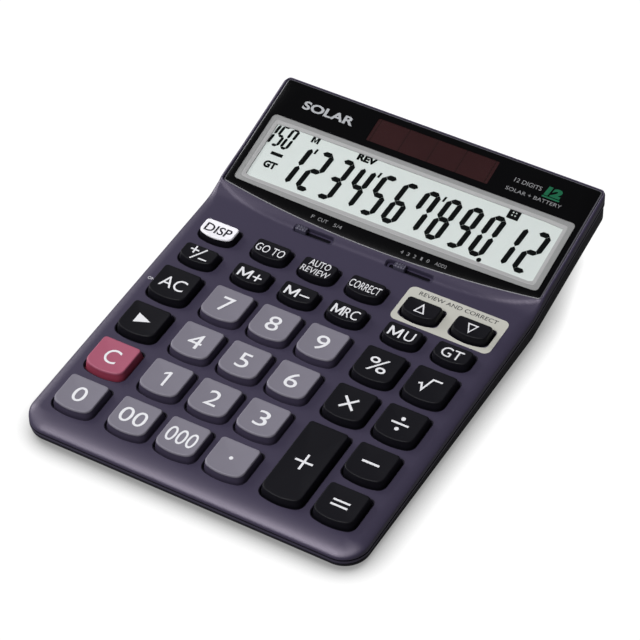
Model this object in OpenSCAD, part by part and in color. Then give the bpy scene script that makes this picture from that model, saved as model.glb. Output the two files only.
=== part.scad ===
// Desk calculator with a sloping keyboard, a steeper display head and solar and cell power.
// Origin: middle of the footprint, on the desk. +X is the user's right, +Y the back, +Z up.

/* [Case] */
// Width of the case, side to side
case_w = 141.5; // [140.5:0.5:142.5]
// Depth of the case, front to back
case_d = 191; // [190:0.5:194]
// Height of the key plane above the desk at the front edge
front_h = 10.2; // [10.1:0.1:11]
// Tilt of the key plane, degrees
key_tilt = 3.12; // [3:0.05:3.5]
// Tilt of the display plane, degrees
head_tilt = 16; // [15.5:0.25:17]
// Distance from the middle to the fold between the two planes
fold_y = 37; // [36.8:0.1:37.4]
// Radius of the two front corners
front_r = 10; // [9:1:12]
// Radius of the two back corners
back_r = 3; // [2.5:0.5:5]
// Wall thickness of the case sides
wall = 1.8; // [1.6:0.1:1.9]
// Depth of the upper case side, from the top surface to the seam
seam_drop = 5.2; // [5:0.1:5.4]
// Gap at the seam
seam_gap = 0.4; // [0.3:0.05:0.5]

/* [Keys] */
// Height of a key top above the case
key_rise = 3; // [2:0.25:3.5]
// Travel of a key
key_travel = 1.2; // [0.8:0.1:1.3]
// Width of a large key at its top
big_top_w = 16.2; // [14:0.1:16.4]
// Depth of a large key at its top
big_top_d = 15.6; // [14:0.1:15.8]
// Width of a small key at its top
small_top_w = 14.4; // [12:0.1:14.6]
// Depth of a small key at its top
small_top_d = 8.4; // [7:0.1:8.5]
// How much wider a key is at its base than at its top
key_flare = 0.8; // [0.6:0.1:1]
// Bow of a key's front edge
key_bow = 1.8; // [1:0.1:2]
// Gap between a key and its hole
key_gap = 0.5; // [0.35:0.05:0.5]

/* [Display] */
// Width of the front lens
lens_w = 137.2; // [136.5:0.1:137.4]
// Thickness of the front lens
lens_t = 1.5; // [1.4:0.1:1.6]
// Bow of the lens's lower edge
lens_bow = 5.5; // [4:0.5:6]
// Width of the silver frame
trim_w = 132.7; // [131:0.1:133]
// Depth of the silver frame, along the slope
trim_d = 32.1; // [31:0.1:32.5]
// Width of the display window
window_w = 124.8; // [123:0.1:126]
// Depth of the display window, along the slope
window_d = 26.6; // [25:0.1:27]
// Width of the solar window
solar_w = 52.6; // [48:0.2:54]
// Depth of the solar window, along the slope
solar_d = 11.2; // [9:0.2:11.4]

/* [Base] */
// Height of a rubber foot
foot_h = 1.2; // [1:0.1:1.3]
// Diameter of a rubber foot
foot_dia = 10; // [8:0.5:10]
// Thickness of the floor
floor_t = 1.6; // [1.4:0.1:1.7]

/* [Slide switches] */
// Travel of the rounding selector, three positions
rounding_travel = 11; // [9:0.5:11.5]
// Travel of the decimal selector, six positions
decimal_travel = 14; // [12:0.5:14.5]

/* [Hidden] */
$fn = 48;
// Key columns and rows: the middles of the keys, from the middle of the case
cols = [-55.2, -32.0, -11.3, 9.4, 33.2, 54.3];
rows = [18.1, 3.6, -14.0, -35.1, -56.2, -77.5];
// Each key: its name, column, row and kind. Kinds: 0 small, 1 large, 2 two rows tall
KEYS = [
    ["key_disp", 0, 0, 0],
    ["key_go_to", 1, 0, 0],
    ["key_auto_review", 2, 0, 0],
    ["key_correct", 3, 0, 0],
    ["key_review_up", 4, 0, 0],
    ["key_review_down", 5, 0, 0],
    ["key_sign", 0, 1, 0],
    ["key_m_plus", 1, 1, 0],
    ["key_m_minus", 2, 1, 0],
    ["key_mrc", 3, 1, 0],
    ["key_mu", 4, 1, 0],
    ["key_gt", 5, 1, 0],
    ["key_ac", 0, 2, 1],
    ["key_7", 1, 2, 1],
    ["key_8", 2, 2, 1],
    ["key_9", 3, 2, 1],
    ["key_percent", 4, 2, 1],
    ["key_root", 5, 2, 1],
    ["key_shift", 0, 3, 1],
    ["key_4", 1, 3, 1],
    ["key_5", 2, 3, 1],
    ["key_6", 3, 3, 1],
    ["key_multiply", 4, 3, 1],
    ["key_divide", 5, 3, 1],
    ["key_c", 0, 4, 1],
    ["key_1", 1, 4, 1],
    ["key_2", 2, 4, 1],
    ["key_3", 3, 4, 1],
    ["key_plus", 4, 4, 2],
    ["key_minus", 5, 4, 1],
    ["key_0", 0, 5, 1],
    ["key_00", 1, 5, 1],
    ["key_000", 2, 5, 1],
    ["key_point", 3, 5, 1],
    ["key_equals", 5, 5, 1],
];

half_w = case_w / 2;
half_d = case_d / 2;
slack = 0.1;

// The two top planes
fold_z = front_h + (fold_y + half_d) * tan(key_tilt);
back_z = fold_z + (half_d - fold_y) * tan(head_tilt);
head_len = (half_d - fold_y) / cos(head_tilt);
function key_z(y) = front_h + (y + half_d) * tan(key_tilt);
function head_z(y) = fold_z + (y - fold_y) * tan(head_tilt);

// Wall under the keys, and under the display
deck_t = 1.8;
head_t = 3.4;

// Heights under the key plane: key flange, plunger, keypad sheet and board
flange_top = deck_t + 0.2;
flange_t = 0.7;
flange_lip = key_gap + 0.3;
plunger_end = 3.1;
dome_top = 4.5;
dome_rise = 0.7;
sheet_t = 0.5;
board_top = dome_top + dome_rise + sheet_t;
board_t = 1.2;
board_under = board_top + board_t;

// Back-up cell, under the board
cell_x = 42;
cell_y = 20;
cell_r = 5.8;
cell_t = 5.4;
cell_top = board_under + 0.45;
contact_t = 0.25;

// Screws
screw_r = 1.05;
pilot_r = 1.1;
screw_hole_r = 1.45;
screw_head_r = 2.2;
sink_r = 2.5;
boss_r = 2;
foot_boss_r = 3.2;
lane_left = -43.6;
lane_right = 21.3;
case_screw_spots = [
    [lane_left, -67], [lane_right, -67], [lane_left, -4.5], [lane_right, -4.5], [-35, 85], [35, 85],
];
board_screw_spots = [[lane_left, -36], [lane_right, -36], [lane_left, 27], [lane_right, 27]];
foot_spots = [[-56, -80], [56, -80], [-46, 82], [46, 82]];
function meet_z(y) = y > fold_y ? 20 : key_z(y) - board_under - 0.3;

// Display heights under the head plane, and places along its slope from the fold
lens_low = 1.6;
lens_high = head_len - 1.4;
lens_sink = 0.1;
trim_t = 0.5;
trim_mid = 26.25;
solar_mid = 51.2;
lens_pocket = lens_sink + lens_t + 0.1;
trim_pocket = lens_pocket + trim_t + 0.05;

// Slide switches
slot_y = 35.6;
slot_d = 1.6;
slider_y = slot_y - 0.1;
dish_d = 2.8;
dish_t = 1;
knob_w = 4.8;
knob_rise = 1.3;
stem_w = 3;
rounding_x = -28.8;
decimal_x = 14.3;
decimal_back = decimal_travel / 5;

// Puts the drawing on the key plane: local Z is the way out of the keys
module on_keys() {
    translate([0, 0, key_z(0)]) rotate([key_tilt, 0, 0]) children();
}

// Puts the drawing on the display plane, with local Y up the slope from the fold
module on_head() {
    translate([0, fold_y, fold_z]) rotate([head_tilt, 0, 0]) children();
}

// A block between two heights, with its middle at x, y
module block(x, y, w, d, low, high) {
    translate([x - w / 2, y - d / 2, low]) cube([w, d, high - low]);
}

// An upright rod between two heights
module rod(spot, r, low, high) {
    translate([spot[0], spot[1], low]) cylinder(r = r, h = high - low);
}

// Carries a side outline, given as [y, z] points, across the width
module across(w, points) {
    rotate([90, 0, 90]) translate([0, 0, -w / 2]) linear_extrude(w) polygon(points);
}

// Outline of the case from above, pulled in all round
module footprint(inset) {
    fr = front_r - inset;
    br = back_r - inset > 0.5 ? back_r - inset : 0.5;
    w = half_w - inset;
    d = half_d - inset;
    translate([-w, -d + fr]) square([2 * w, 2 * d - fr - br]);
    translate([-w + fr, -d]) square([2 * (w - fr), fr + 1]);
    translate([-w + br, d - br - 1]) square([2 * (w - br), br + 1]);
    for (side = [-1, 1]) {
        translate([side * (w - fr), -d + fr]) circle(fr);
        translate([side * (w - br), d - br]) circle(br);
    }
}

// Top outline of the case in side view, lowered by t and by t_head over the display
function top_line(t, t_head) = [
    [-half_d, front_h - 3.2 - t],
    [-half_d + 1.5, front_h - 1.4 - t],
    [-half_d + 4.5, front_h - 0.2 - t],
    [-half_d + 8, key_z(-half_d + 8) - t],
    [fold_y + (t_head > t ? 0.5 : 0), key_z(fold_y) - t],
    [fold_y + (t_head > t ? 2 : 0), head_z(fold_y + (t_head > t ? 2 : 0)) - t_head],
    [half_d, back_z - t_head],
];

// Seam line in side view, lowered by t
function seam_line(t) = [
    [half_d, back_z - seam_drop / cos(head_tilt) - t],
    [fold_y, fold_z - seam_drop - t],
    [-half_d, front_h - seam_drop - t],
];

// Front lens, seen square on: a rectangle whose lower edge is an arc
module lens_outline(gap) {
    chord = lens_w / 2;
    bow_r = (chord * chord + lens_bow * lens_bow) / (2 * lens_bow);
    intersection() {
        translate([-chord - gap, lens_low - gap])
            square([2 * (chord + gap), lens_high - lens_low + 2 * gap]);
        translate([0, lens_low + bow_r]) circle(bow_r + gap, $fn = 200);
    }
}

// Sizes of a key by kind
function top_w(kind) = kind == 0 ? small_top_w : big_top_w;
function top_d(kind) =
    kind == 0 ? small_top_d : kind == 1 ? big_top_d : big_top_d + rows[4] - rows[5];
function key_x(k) = cols[k[1]];
function key_y(k) = k[3] == 2 ? (rows[4] + rows[5]) / 2 : rows[k[2]];

// Hole in the deck for one key
module key_hole(k) {
    w = top_w(k[3]) + key_flare + 2 * key_gap;
    d = top_d(k[3]) + key_flare + 2 * key_gap;
    block(key_x(k), key_y(k), w, d, -deck_t - 2, 1);
}

module upper_case() {
    color([0.27, 0.26, 0.32]) difference() {
        union() {
            difference() {
                intersection() {
                    linear_extrude(60) footprint(0);
                    across(case_w + 2, concat(top_line(0, 0), seam_line(0)));
                }
                intersection() {
                    linear_extrude(60) footprint(wall);
                    across(case_w, concat(top_line(deck_t, head_t), [[half_d, -5], [-half_d, -5]]));
                }
            }
            // Posts for the case screws
            intersection() {
                union() {
                    for (p = case_screw_spots) rod(p, boss_r, meet_z(p[1]), 50);
                }
                across(case_w, concat(top_line(slack, slack), [[half_d, 0], [-half_d, 0]]));
            }
            // Posts for the board screws
            on_keys() {
                for (p = board_screw_spots) rod(p, boss_r, -board_top + 0.05, -deck_t + slack);
            }
        }
        for (p = case_screw_spots) rod(p, pilot_r, meet_z(p[1]) - 1, meet_z(p[1]) + 5);
        on_keys() {
            for (k = KEYS) key_hole(k);
            for (p = board_screw_spots) rod(p, pilot_r, -board_top - 1, -board_top + 3.4);
            // Dish and slot of each slide switch
            slide_cut(rounding_x, 0, rounding_travel);
            slide_cut(decimal_x, -decimal_back, decimal_travel - decimal_back);
        }
        on_head() {
            translate([0, 0, -lens_pocket]) linear_extrude(10) lens_outline(0.15);
            block(0, trim_mid, trim_w + 0.3, trim_d + 0.3, -trim_pocket, 0);
            block(0, trim_mid, window_w, window_d, -6, 0);
            block(0, solar_mid, solar_w, solar_d, -6, 0);
        }
    }
}

// Cut for a slide switch whose knob rests at x and moves from low to high
module slide_cut(x, low, high) {
    w = high - low;
    mid = x + (low + high) / 2;
    block(mid, slot_y, w + knob_w + 0.6, dish_d, -dish_t, 2);
    block(mid, slot_y, w + stem_w + 0.6, slot_d, -6, 2);
}

// Solid shape of the lower case, pulled in by inset on the sides and floor
module base_form(inset, floor_z) {
    side_front = 3.2;
    side_fold = 5.9;
    side_back = 22;
    difference() {
        intersection() {
            linear_extrude(60) footprint(0.3 + inset);
            across(case_w, concat([
                [-half_d + 0.3 + inset, side_front + inset * 0.4],
                [-half_d + 11 + inset, floor_z],
                [half_d - 4.5 - inset, floor_z],
                [half_d - 0.3 - inset, side_back],
            ], seam_line(seam_gap)));
        }
        // Sides slope in to the base, steeper under the head
        for (side = [-1, 1]) {
            mirror([side < 0 ? 1 : 0, 0, 0]) {
                undercut(inset, -half_d, side_front, fold_y, side_fold);
                undercut(inset, fold_y, side_fold, half_d, side_back);
            }
        }
    }
}

// Wedge under the right side line, which runs from (y1, z1) to (y2, z2)
module undercut(inset, y1, z1, y2, z2) {
    slope = atan((z2 - z1) / (y2 - y1));
    length = (y2 - y1) / cos(slope);
    translate([half_w - inset, y1, z1])
        rotate([slope, 0, 0])
            translate([0, length + 10, 0])
                rotate([90, 0, 0])
                    linear_extrude(length + 20) polygon([[20, 20], [20, -90], [-90, -90]]);
}

module lower_case() {
    color([0.12, 0.11, 0.15]) difference() {
        union() {
            difference() {
                base_form(0, foot_h);
                base_form(wall, foot_h + floor_t);
            }
            for (p = case_screw_spots) rod(p, foot_boss_r, foot_h + slack, meet_z(p[1]) - 0.1);
        }
        for (p = case_screw_spots) {
            rod(p, screw_hole_r, 0, meet_z(p[1]) + 1);
            rod(p, sink_r, 0, meet_z(p[1]) - 1.8);
        }
        for (p = foot_spots) rod(p, foot_dia / 2 + 0.1, 0, foot_h + 0.5);
    }
}

module display_lens() {
    color([0.06, 0.06, 0.06]) on_head()
        translate([0, 0, -lens_sink - lens_t]) linear_extrude(lens_t) lens_outline(0);
}

module display_trim() {
    low = -lens_pocket - trim_t;
    color([0.72, 0.72, 0.74]) on_head() difference() {
        block(0, trim_mid, trim_w, trim_d, low, low + trim_t);
        block(0, trim_mid, window_w, window_d, low - 1, low + 2);
    }
}

module lcd_glass() {
    color([0.84, 0.87, 0.86]) on_head() block(0, trim_mid, 131.6, 33, -head_t - 1.9, -head_t - 0.1);
}

module lcd_reflector() {
    color([0.75, 0.78, 0.76]) on_head() block(0, trim_mid, 127, 28.6, -head_t - 2.2, -head_t - 1.95);
}

module lcd_holder() {
    low = -head_t - 4.7;
    color([0.85, 0.85, 0.83]) on_head() difference() {
        block(0, trim_mid, 133, 34.6, low, -head_t - 2);
        block(0, trim_mid, 127.6, 29.2, low - 1, -head_t);
    }
}

module display_ribbon() {
    // From the foot of the display glass down to the back edge of the board
    color([0.8, 0.55, 0.2]) across(96, [
        [45.6, 13.6], [43.6, 13.2], [41.8, 12.3], [38.2, 12.1],
        [38.2, 12.3], [41.7, 12.5], [43.5, 13.4], [45.6, 13.8],
    ]);
}

module solar_cell() {
    color([0.2, 0.1, 0.1]) on_head()
        block(0, solar_mid, solar_w + 3, solar_d + 1.6, -head_t - 1.2, -head_t - 0.1);
}

// A wire through a list of points
module wire(points, r) {
    for (i = [1:len(points) - 1]) {
        a = points[i - 1];
        b = points[i];
        run = b - a;
        length = norm(run);
        translate(a)
            rotate([0, acos(run[2] / length), atan2(run[1], run[0])])
                cylinder(r = r, h = length);
        if (i < len(points) - 1) translate(b) sphere(r * 1.05);
    }
}

// Route of a lead from the solar cell to the board, on the side given
function lead_route(side) = [
    [side * 19, 87, 26.2], [side * 19, 85, 22], [side * 17, 68, 15], [side * 15, 50, 11],
    [side * 15, 41, 10.2],
];

module solar_leads() {
    lead_r = 0.5;
    color([0.7, 0.1, 0.1]) wire(lead_route(1), lead_r);
    color([0.1, 0.1, 0.1]) wire(lead_route(-1), lead_r);
}

module main_board() {
    board_w = 126;
    board_d = 128;
    color([0.1, 0.35, 0.2]) difference() {
        on_keys() difference() {
            block(0, -22, board_w, board_d, -board_under, -board_top);
            for (p = board_screw_spots) rod(p, screw_hole_r, -board_under - 1, -board_top + 1);
        }
        for (p = case_screw_spots) rod(p, boss_r + 0.6, 0, 30);
    }
}

// Rubber sheet with one low dome under each key
module rubber_keypad() {
    dome_r = 3.2;
    sheet_w = 124;
    sheet_d = 108;
    color([0.75, 0.75, 0.78]) difference() {
        on_keys() difference() {
            union() {
                block(0, -30, sheet_w, sheet_d, -board_top, -board_top + sheet_t);
                for (k = KEYS) {
                    translate([key_x(k), key_y(k), -dome_top - dome_rise - slack])
                        cylinder(r1 = dome_r, r2 = dome_r - 1, h = dome_rise + slack);
                }
            }
            for (p = board_screw_spots) rod(p, boss_r + 0.5, -board_top - 1, -board_top + 2);
        }
        for (p = case_screw_spots) rod(p, boss_r + 0.6, 0, 30);
    }
}

// Flat package with a row of legs that reach out at the front and the back
module calculator_chip() {
    chip_w = 12;
    chip_x = -10;
    chip_y = 12;
    leg_w = 0.4;
    color([0.08, 0.08, 0.08]) on_keys() {
        block(chip_x, chip_y, chip_w, chip_w, -board_under - 1.7, -board_under - 0.1);
        for (i = [-5:5]) {
            block(chip_x + i, chip_y, leg_w, chip_w + 3, -board_under - 0.6, -board_under);
        }
    }
}

// Two capacitors, a diode and two resistors under the board
module board_parts() {
    cap_r = 2;
    diode_r = 0.9;
    color([0.15, 0.2, 0.45]) on_keys() {
        for (x = [12, 20]) {
            translate([x, 4, -board_under - cap_r - slack]) rotate([-90, 0, 0]) cylinder(r = cap_r, h = 7);
        }
        translate([28, 6, -board_under - diode_r - slack]) rotate([-90, 0, 0]) cylinder(r = diode_r, h = 4);
        for (x = [-30, -26]) block(x, 12, 1.6, 3.2, -board_under - 0.7, -board_under - 0.02);
    }
}

module button_cell() {
    color([0.8, 0.8, 0.78]) on_keys() {
        rod([cell_x, cell_y], cell_r, -cell_top - cell_t, -cell_top - 0.6);
        rod([cell_x, cell_y], cell_r - 1, -cell_top - 0.6 - slack, -cell_top);
    }
}

// Strap under the cell, with an arm up each side to the board
module cell_contact_positive() {
    low = -cell_top - cell_t - 0.3;
    color([0.7, 0.7, 0.65]) on_keys() {
        block(cell_x, cell_y, 2 * cell_r + 1.4, 5, low, low + contact_t);
        for (side = [-1, 1]) {
            block(cell_x + side * (cell_r + 0.55), cell_y, 0.3, 5, low, -board_under - 0.02);
        }
    }
}

// Disc on the cell, with a tongue back to the board
module cell_contact_negative() {
    low = -cell_top + 0.05;
    color([0.7, 0.7, 0.65]) on_keys() {
        rod([cell_x, cell_y], 3.5, low, low + contact_t);
        block(cell_x, cell_y + 6, 3, 8, low, low + contact_t);
        block(cell_x, cell_y + 9.4, 3, 1.2, low, -board_under - 0.02);
    }
}

// Knob in its dish, stem through the slot and slider under the deck
module switch_knob(x) {
    grip_pitch = 1.2;
    color([0.3, 0.29, 0.35]) on_keys() {
        difference() {
            block(x, slot_y, knob_w, dish_d - 0.5, -dish_t + 0.15, knob_rise);
            // Grip grooves
            for (i = [-1:1]) block(x + i * grip_pitch, slot_y, 0.5, dish_d, knob_rise - 0.4, 2);
        }
        block(x, slot_y, stem_w, slot_d - 0.4, -deck_t - 0.4, -dish_t + 0.3);
        block(x, slider_y, stem_w + 3, 2.8, -deck_t - 1, -deck_t - 0.25);
    }
}

// Two-legged contact carried by the slider, just clear of the board
module switch_wiper(x) {
    top = -deck_t - 1.02;
    low = -board_top + 0.15;
    color([0.75, 0.6, 0.3]) on_keys() {
        block(x, slider_y, 5, 2, top - 0.2, top);
        for (side = [-1, 1]) block(x + side * 2.2, slider_y, 0.4, 2, low, top);
    }
}

module rounding_knob() {
    switch_knob(rounding_x);
}

module rounding_wiper() {
    switch_wiper(rounding_x);
}

module decimal_knob() {
    switch_knob(decimal_x);
}

module decimal_wiper() {
    switch_wiper(decimal_x);
}

module case_screws() {
    color([0.6, 0.6, 0.6]) for (p = case_screw_spots) {
        seat = meet_z(p[1]) - 1.8;
        difference() {
            rod(p, screw_head_r, seat - 1.3, seat);
            block(p[0], p[1], 0.6, 3, seat - 2, seat - 0.7);
            block(p[0], p[1], 3, 0.6, seat - 2, seat - 0.7);
        }
        rod(p, screw_r, seat - slack, seat + 6);
    }
}

module board_screws() {
    color([0.6, 0.6, 0.6]) on_keys() for (p = board_screw_spots) {
        rod(p, screw_head_r - 0.2, -board_under - 1.1, -board_under - 0.02);
        rod(p, screw_r, -board_under - slack, -board_top + 3);
    }
}

module rubber_feet() {
    color([0.1, 0.1, 0.1]) for (p = foot_spots) rod(p, foot_dia / 2, 0, foot_h + 0.45);
}

// Key body in its own place: a tapered cap with a bowed front, a flange and a plunger
module key_form(k) {
    kind = k[3];
    tw = top_w(kind) / 2;
    td = top_d(kind) / 2;
    bw = tw + key_flare / 2;
    bd = td + key_flare / 2;
    bow_r = (tw * tw + key_bow * key_bow) / (2 * key_bow);
    skirt = 0.3;
    plunger_r = 2;
    translate([key_x(k), key_y(k), 0]) {
        intersection() {
            // Side view of the taper, then front view
            translate([0, bd + 1, 0]) rotate([90, 0, 0]) linear_extrude(2 * bd + 2) polygon([
                [-bw, -flange_top], [bw, -flange_top], [bw, skirt], [tw, key_rise], [-tw, key_rise],
                [-bw, skirt],
            ]);
            rotate([90, 0, 90]) translate([0, 0, -bw - 1]) linear_extrude(2 * bw + 2) polygon([
                [-bd - 2, -flange_top], [bd, -flange_top], [bd, skirt], [td, key_rise],
                [-bd - 2, key_rise],
            ]);
            // Bowed front
            translate([0, -td + bow_r, 0]) {
                translate([0, 0, -flange_top])
                    cylinder(r = bow_r + key_flare / 2, h = flange_top + skirt);
                translate([0, 0, skirt])
                    cylinder(r1 = bow_r + key_flare / 2, r2 = bow_r, h = key_rise - skirt);
                block(0, bd, 2 * bw + 2, 2 * bd, -flange_top, key_rise);
            }
        }
        block(0, 0, 2 * (bw + flange_lip), 2 * (bd + flange_lip), -flange_top - flange_t, -flange_top);
        rod([0, 0], plunger_r, -plunger_end, -flange_top - flange_t);
    }
}

// Number keys, which have grey tops
number_keys = [
    "key_0", "key_00", "key_000", "key_point", "key_1", "key_2", "key_3", "key_4", "key_5", "key_6",
    "key_7", "key_8", "key_9",
];
function is_number(name) = len([for (n = number_keys) if (n == name) n]) > 0;
function key_colour(name) =
    name == "key_disp" ? [0.9, 0.9, 0.93]
    : name == "key_c" ? [0.65, 0.35, 0.43]
    : is_number(name) ? [0.5, 0.49, 0.54]
    : [0.11, 0.11, 0.13];

module key(k) {
    color(key_colour(k[0])) on_keys() key_form(k);
}

for (k = KEYS) key(k);
upper_case();
lower_case();
display_lens();
display_trim();
lcd_glass();
lcd_reflector();
lcd_holder();
display_ribbon();
solar_cell();
solar_leads();
main_board();
rubber_keypad();
calculator_chip();
board_parts();
button_cell();
cell_contact_positive();
cell_contact_negative();
rounding_knob();
rounding_wiper();
decimal_knob();
decimal_wiper();
case_screws();
board_screws();
rubber_feet();
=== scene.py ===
import math
import bmesh
import bpy
import numpy as np
from mathutils import Matrix, Vector
from mathutils.geometry import delaunay_2d_cdt


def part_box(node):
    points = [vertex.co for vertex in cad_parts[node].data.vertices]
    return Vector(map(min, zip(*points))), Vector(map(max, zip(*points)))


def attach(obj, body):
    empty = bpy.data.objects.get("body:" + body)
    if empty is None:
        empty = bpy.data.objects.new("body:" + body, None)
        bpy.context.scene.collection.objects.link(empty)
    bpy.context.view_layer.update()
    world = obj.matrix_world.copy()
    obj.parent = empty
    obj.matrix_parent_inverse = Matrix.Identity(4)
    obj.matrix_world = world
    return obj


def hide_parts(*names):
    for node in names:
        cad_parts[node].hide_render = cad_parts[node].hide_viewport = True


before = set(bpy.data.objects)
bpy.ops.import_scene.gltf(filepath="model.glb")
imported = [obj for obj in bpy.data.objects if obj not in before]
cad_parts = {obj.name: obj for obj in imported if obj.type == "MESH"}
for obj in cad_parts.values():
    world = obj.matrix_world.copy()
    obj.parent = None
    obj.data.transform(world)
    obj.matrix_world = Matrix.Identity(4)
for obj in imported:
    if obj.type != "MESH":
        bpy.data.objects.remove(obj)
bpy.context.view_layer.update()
mm = 0.001

# The case, in millimetres and degrees. Width and depth come from the frame
caseLow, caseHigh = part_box("upper_case")
caseShape = dict(
    width=(caseHigh.x - caseLow.x) / mm,
    depth=(caseHigh.y - caseLow.y) / mm,
    keyTilt=3.12,
    headTilt=16.0,
    frontHeight=10.2,
    foldAt=37.0,
    frontRadius=10,
    seamGap=0.4,
    backRadius=3.0,
    seamDrop=5.2,
    groove=0.35,
    deckThickness=1.8,
    headThickness=3.4,
    foldSoftness=0.12,
    ledgeHeight=0.55,
    ledgeMiddle=-2.66,
    ledgeSide=4.9,
    ledgePower=5,
)
halfW = caseShape["width"] / 2
halfD = caseShape["depth"] / 2
tanKey = math.tan(math.radians(caseShape["keyTilt"]))
tanHead = math.tan(math.radians(caseShape["headTilt"]))
foldY = caseShape["foldAt"]
foldZ = caseShape["frontHeight"] + (foldY + halfD) * tanKey
headLength = (halfD - foldY) / math.cos(math.radians(caseShape["headTilt"]))

lensShape = dict(
    bevel=0.6, width=138.9, bow=5.5, low=1.6, margin=0.8, cornerRadius=1.6, sink=0.1, thickness=1.5, pocket=2.3,
)
lensHigh = headLength - lensShape["margin"]


# Planes and places

def tiltedFrame(y, z, degrees):
    # columns are the local axes, turned about X, and the origin is on the middle line
    a = math.radians(degrees)
    turn = np.array([[1, 0, 0], [0, math.cos(a), -math.sin(a)], [0, math.sin(a), math.cos(a)]])
    return turn, np.array([0, y, z])


keyPlane = tiltedFrame(0, caseShape["frontHeight"] + halfD * tanKey, caseShape["keyTilt"])
headPlane = tiltedFrame(foldY, foldZ, caseShape["headTilt"])


def place(points, plane):
    # local millimetres to metres in the object's frame: turn, then shift
    turn, shift = plane
    return (np.asarray(points, float) @ turn.T + shift) * mm


def smoothStep(t):
    # 3t^2 - 2t^3 between 0 and 1
    t = np.clip(t, 0, 1)
    return t * t * (3 - 2 * t)


def keyHeight(y):
    return caseShape["frontHeight"] + (y + halfD) * tanKey


def headHeight(y):
    return foldZ + (y - foldY) * tanHead


def lensEdge(x):
    # lower edge of the lens along the slope: an arc, close to a parabola of the same bow
    return lensShape["low"] + lensShape["bow"] * (x / (lensShape["width"] / 2)) ** 2


def ledgeEdge(x):
    # the smile-shaped crease below the lens: flat in the middle, sweeping up at the sides
    return caseShape["ledgeMiddle"] + caseShape["ledgeSide"] * (np.abs(x) / 62) ** caseShape["ledgePower"]


def topHeight(x, y):
    # the higher of two planes with a small fillet, plus a ledge that rolls up from its crease to the lens
    a, b = keyHeight(y), headHeight(y)
    base = (a + b) / 2 + np.sqrt(((a - b) / 2) ** 2 + caseShape["foldSoftness"] ** 2)
    s = (y - foldY) / math.cos(math.radians(caseShape["headTilt"]))
    run = np.maximum(lensEdge(x) - ledgeEdge(x), 1.6)
    t = np.clip((s - ledgeEdge(x)) / run, 0, 1)
    fade = 1 - smoothStep((s - 8) / 20)
    return base + caseShape["ledgeHeight"] * np.sqrt(1 - (1 - t) ** 2) * fade


def deckPoints(xy, drop):
    # points of the top surface, lowered by drop, in metres
    return np.column_stack([xy, topHeight(xy[:, 0], xy[:, 1]) - drop]) * mm


# Outlines: closed rings of points with their outward directions

def arc(cx, cy, r, start, end, n):
    a = np.linspace(start, end, n)
    return np.column_stack([cx + r * np.cos(a), cy + r * np.sin(a)]), np.column_stack([np.cos(a), np.sin(a)])


def line(p, q, n, normal):
    # points strictly between p and q
    t = np.linspace(0, 1, n + 2)[1:-1, None]
    return (1 - t) * np.array(p) + t * np.array(q), np.tile(normal, (n, 1))


def ring(pieces):
    return np.vstack([p for p, _ in pieces]), np.vstack([n for _, n in pieces])


def caseOutline(pitch=1.6, arcPoints=14):
    # rounded rectangle from above, wide corners at the front and tight ones at the back
    fr, br, w, d = caseShape["frontRadius"], caseShape["backRadius"], halfW, halfD
    q = math.pi / 2
    sideN, backN, frontN = (int(v / pitch) for v in (2 * d - fr - br, 2 * (w - br), 2 * (w - fr)))
    return ring([
        line((w, -d + fr), (w, d - br), sideN, (1, 0)),
        arc(w - br, d - br, br, 0, q, arcPoints),
        line((w - br, d), (-w + br, d), backN, (0, 1)),
        arc(-w + br, d - br, br, q, 2 * q, arcPoints),
        line((-w, d - br), (-w, -d + fr), sideN, (-1, 0)),
        arc(-w + fr, -d + fr, fr, 2 * q, 3 * q, 2 * arcPoints),
        line((-w + fr, -d), (w - fr, -d), frontN, (0, -1)),
        arc(w - fr, -d + fr, fr, 3 * q, 4 * q, 2 * arcPoints),
    ])


def bowedOutline(w, d, bow, backR, frontR, sides=6, corner=7, front=16):
    # a rectangle w by d whose front edge is an arc standing out by bow, with rounded corners
    hw, hd = w / 2, d / 2
    bowR = (hw * hw + bow * bow) / (2 * bow)
    cy = -hd + bowR
    fx = hw - frontR
    fy = cy - math.sqrt((bowR - frontR) ** 2 - fx ** 2)
    turn = math.atan2(fy - cy, fx)
    q = math.pi / 2
    return ring([
        line((hw, fy), (hw, hd - backR), sides, (1, 0)),
        arc(hw - backR, hd - backR, backR, 0, q, corner),
        line((hw - backR, hd), (-hw + backR, hd), sides, (0, 1)),
        arc(-hw + backR, hd - backR, backR, q, 2 * q, corner),
        line((-hw, hd - backR), (-hw, fy), sides, (-1, 0)),
        arc(-fx, fy, frontR, -2 * q, -math.pi - turn, corner),
        tuple(a[1:-1] for a in arc(0, cy, bowR, -math.pi - turn, turn, front)),
        arc(fx, fy, frontR, turn, 0, corner),
    ])


def lensOutline(grow):
    # the lens seen square on, in slope coordinates: straight sides and top, bowed lower edge
    w = lensShape["width"] + 2 * grow
    low, high = lensShape["low"] - grow, lensHigh + grow
    points, normals = bowedOutline(w, high - low, lensShape["bow"], lensShape["cornerRadius"],
                                   lensShape["cornerRadius"], sides=40, corner=8, front=70)
    return points + [0, (low + high) / 2], normals


def discOutline(x, y, r, n=32):
    a = np.linspace(0, 2 * math.pi, n, endpoint=False)
    return np.column_stack([x + r * np.cos(a), y + r * np.sin(a)]), np.column_stack([np.cos(a), np.sin(a)])


# Meshes

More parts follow.
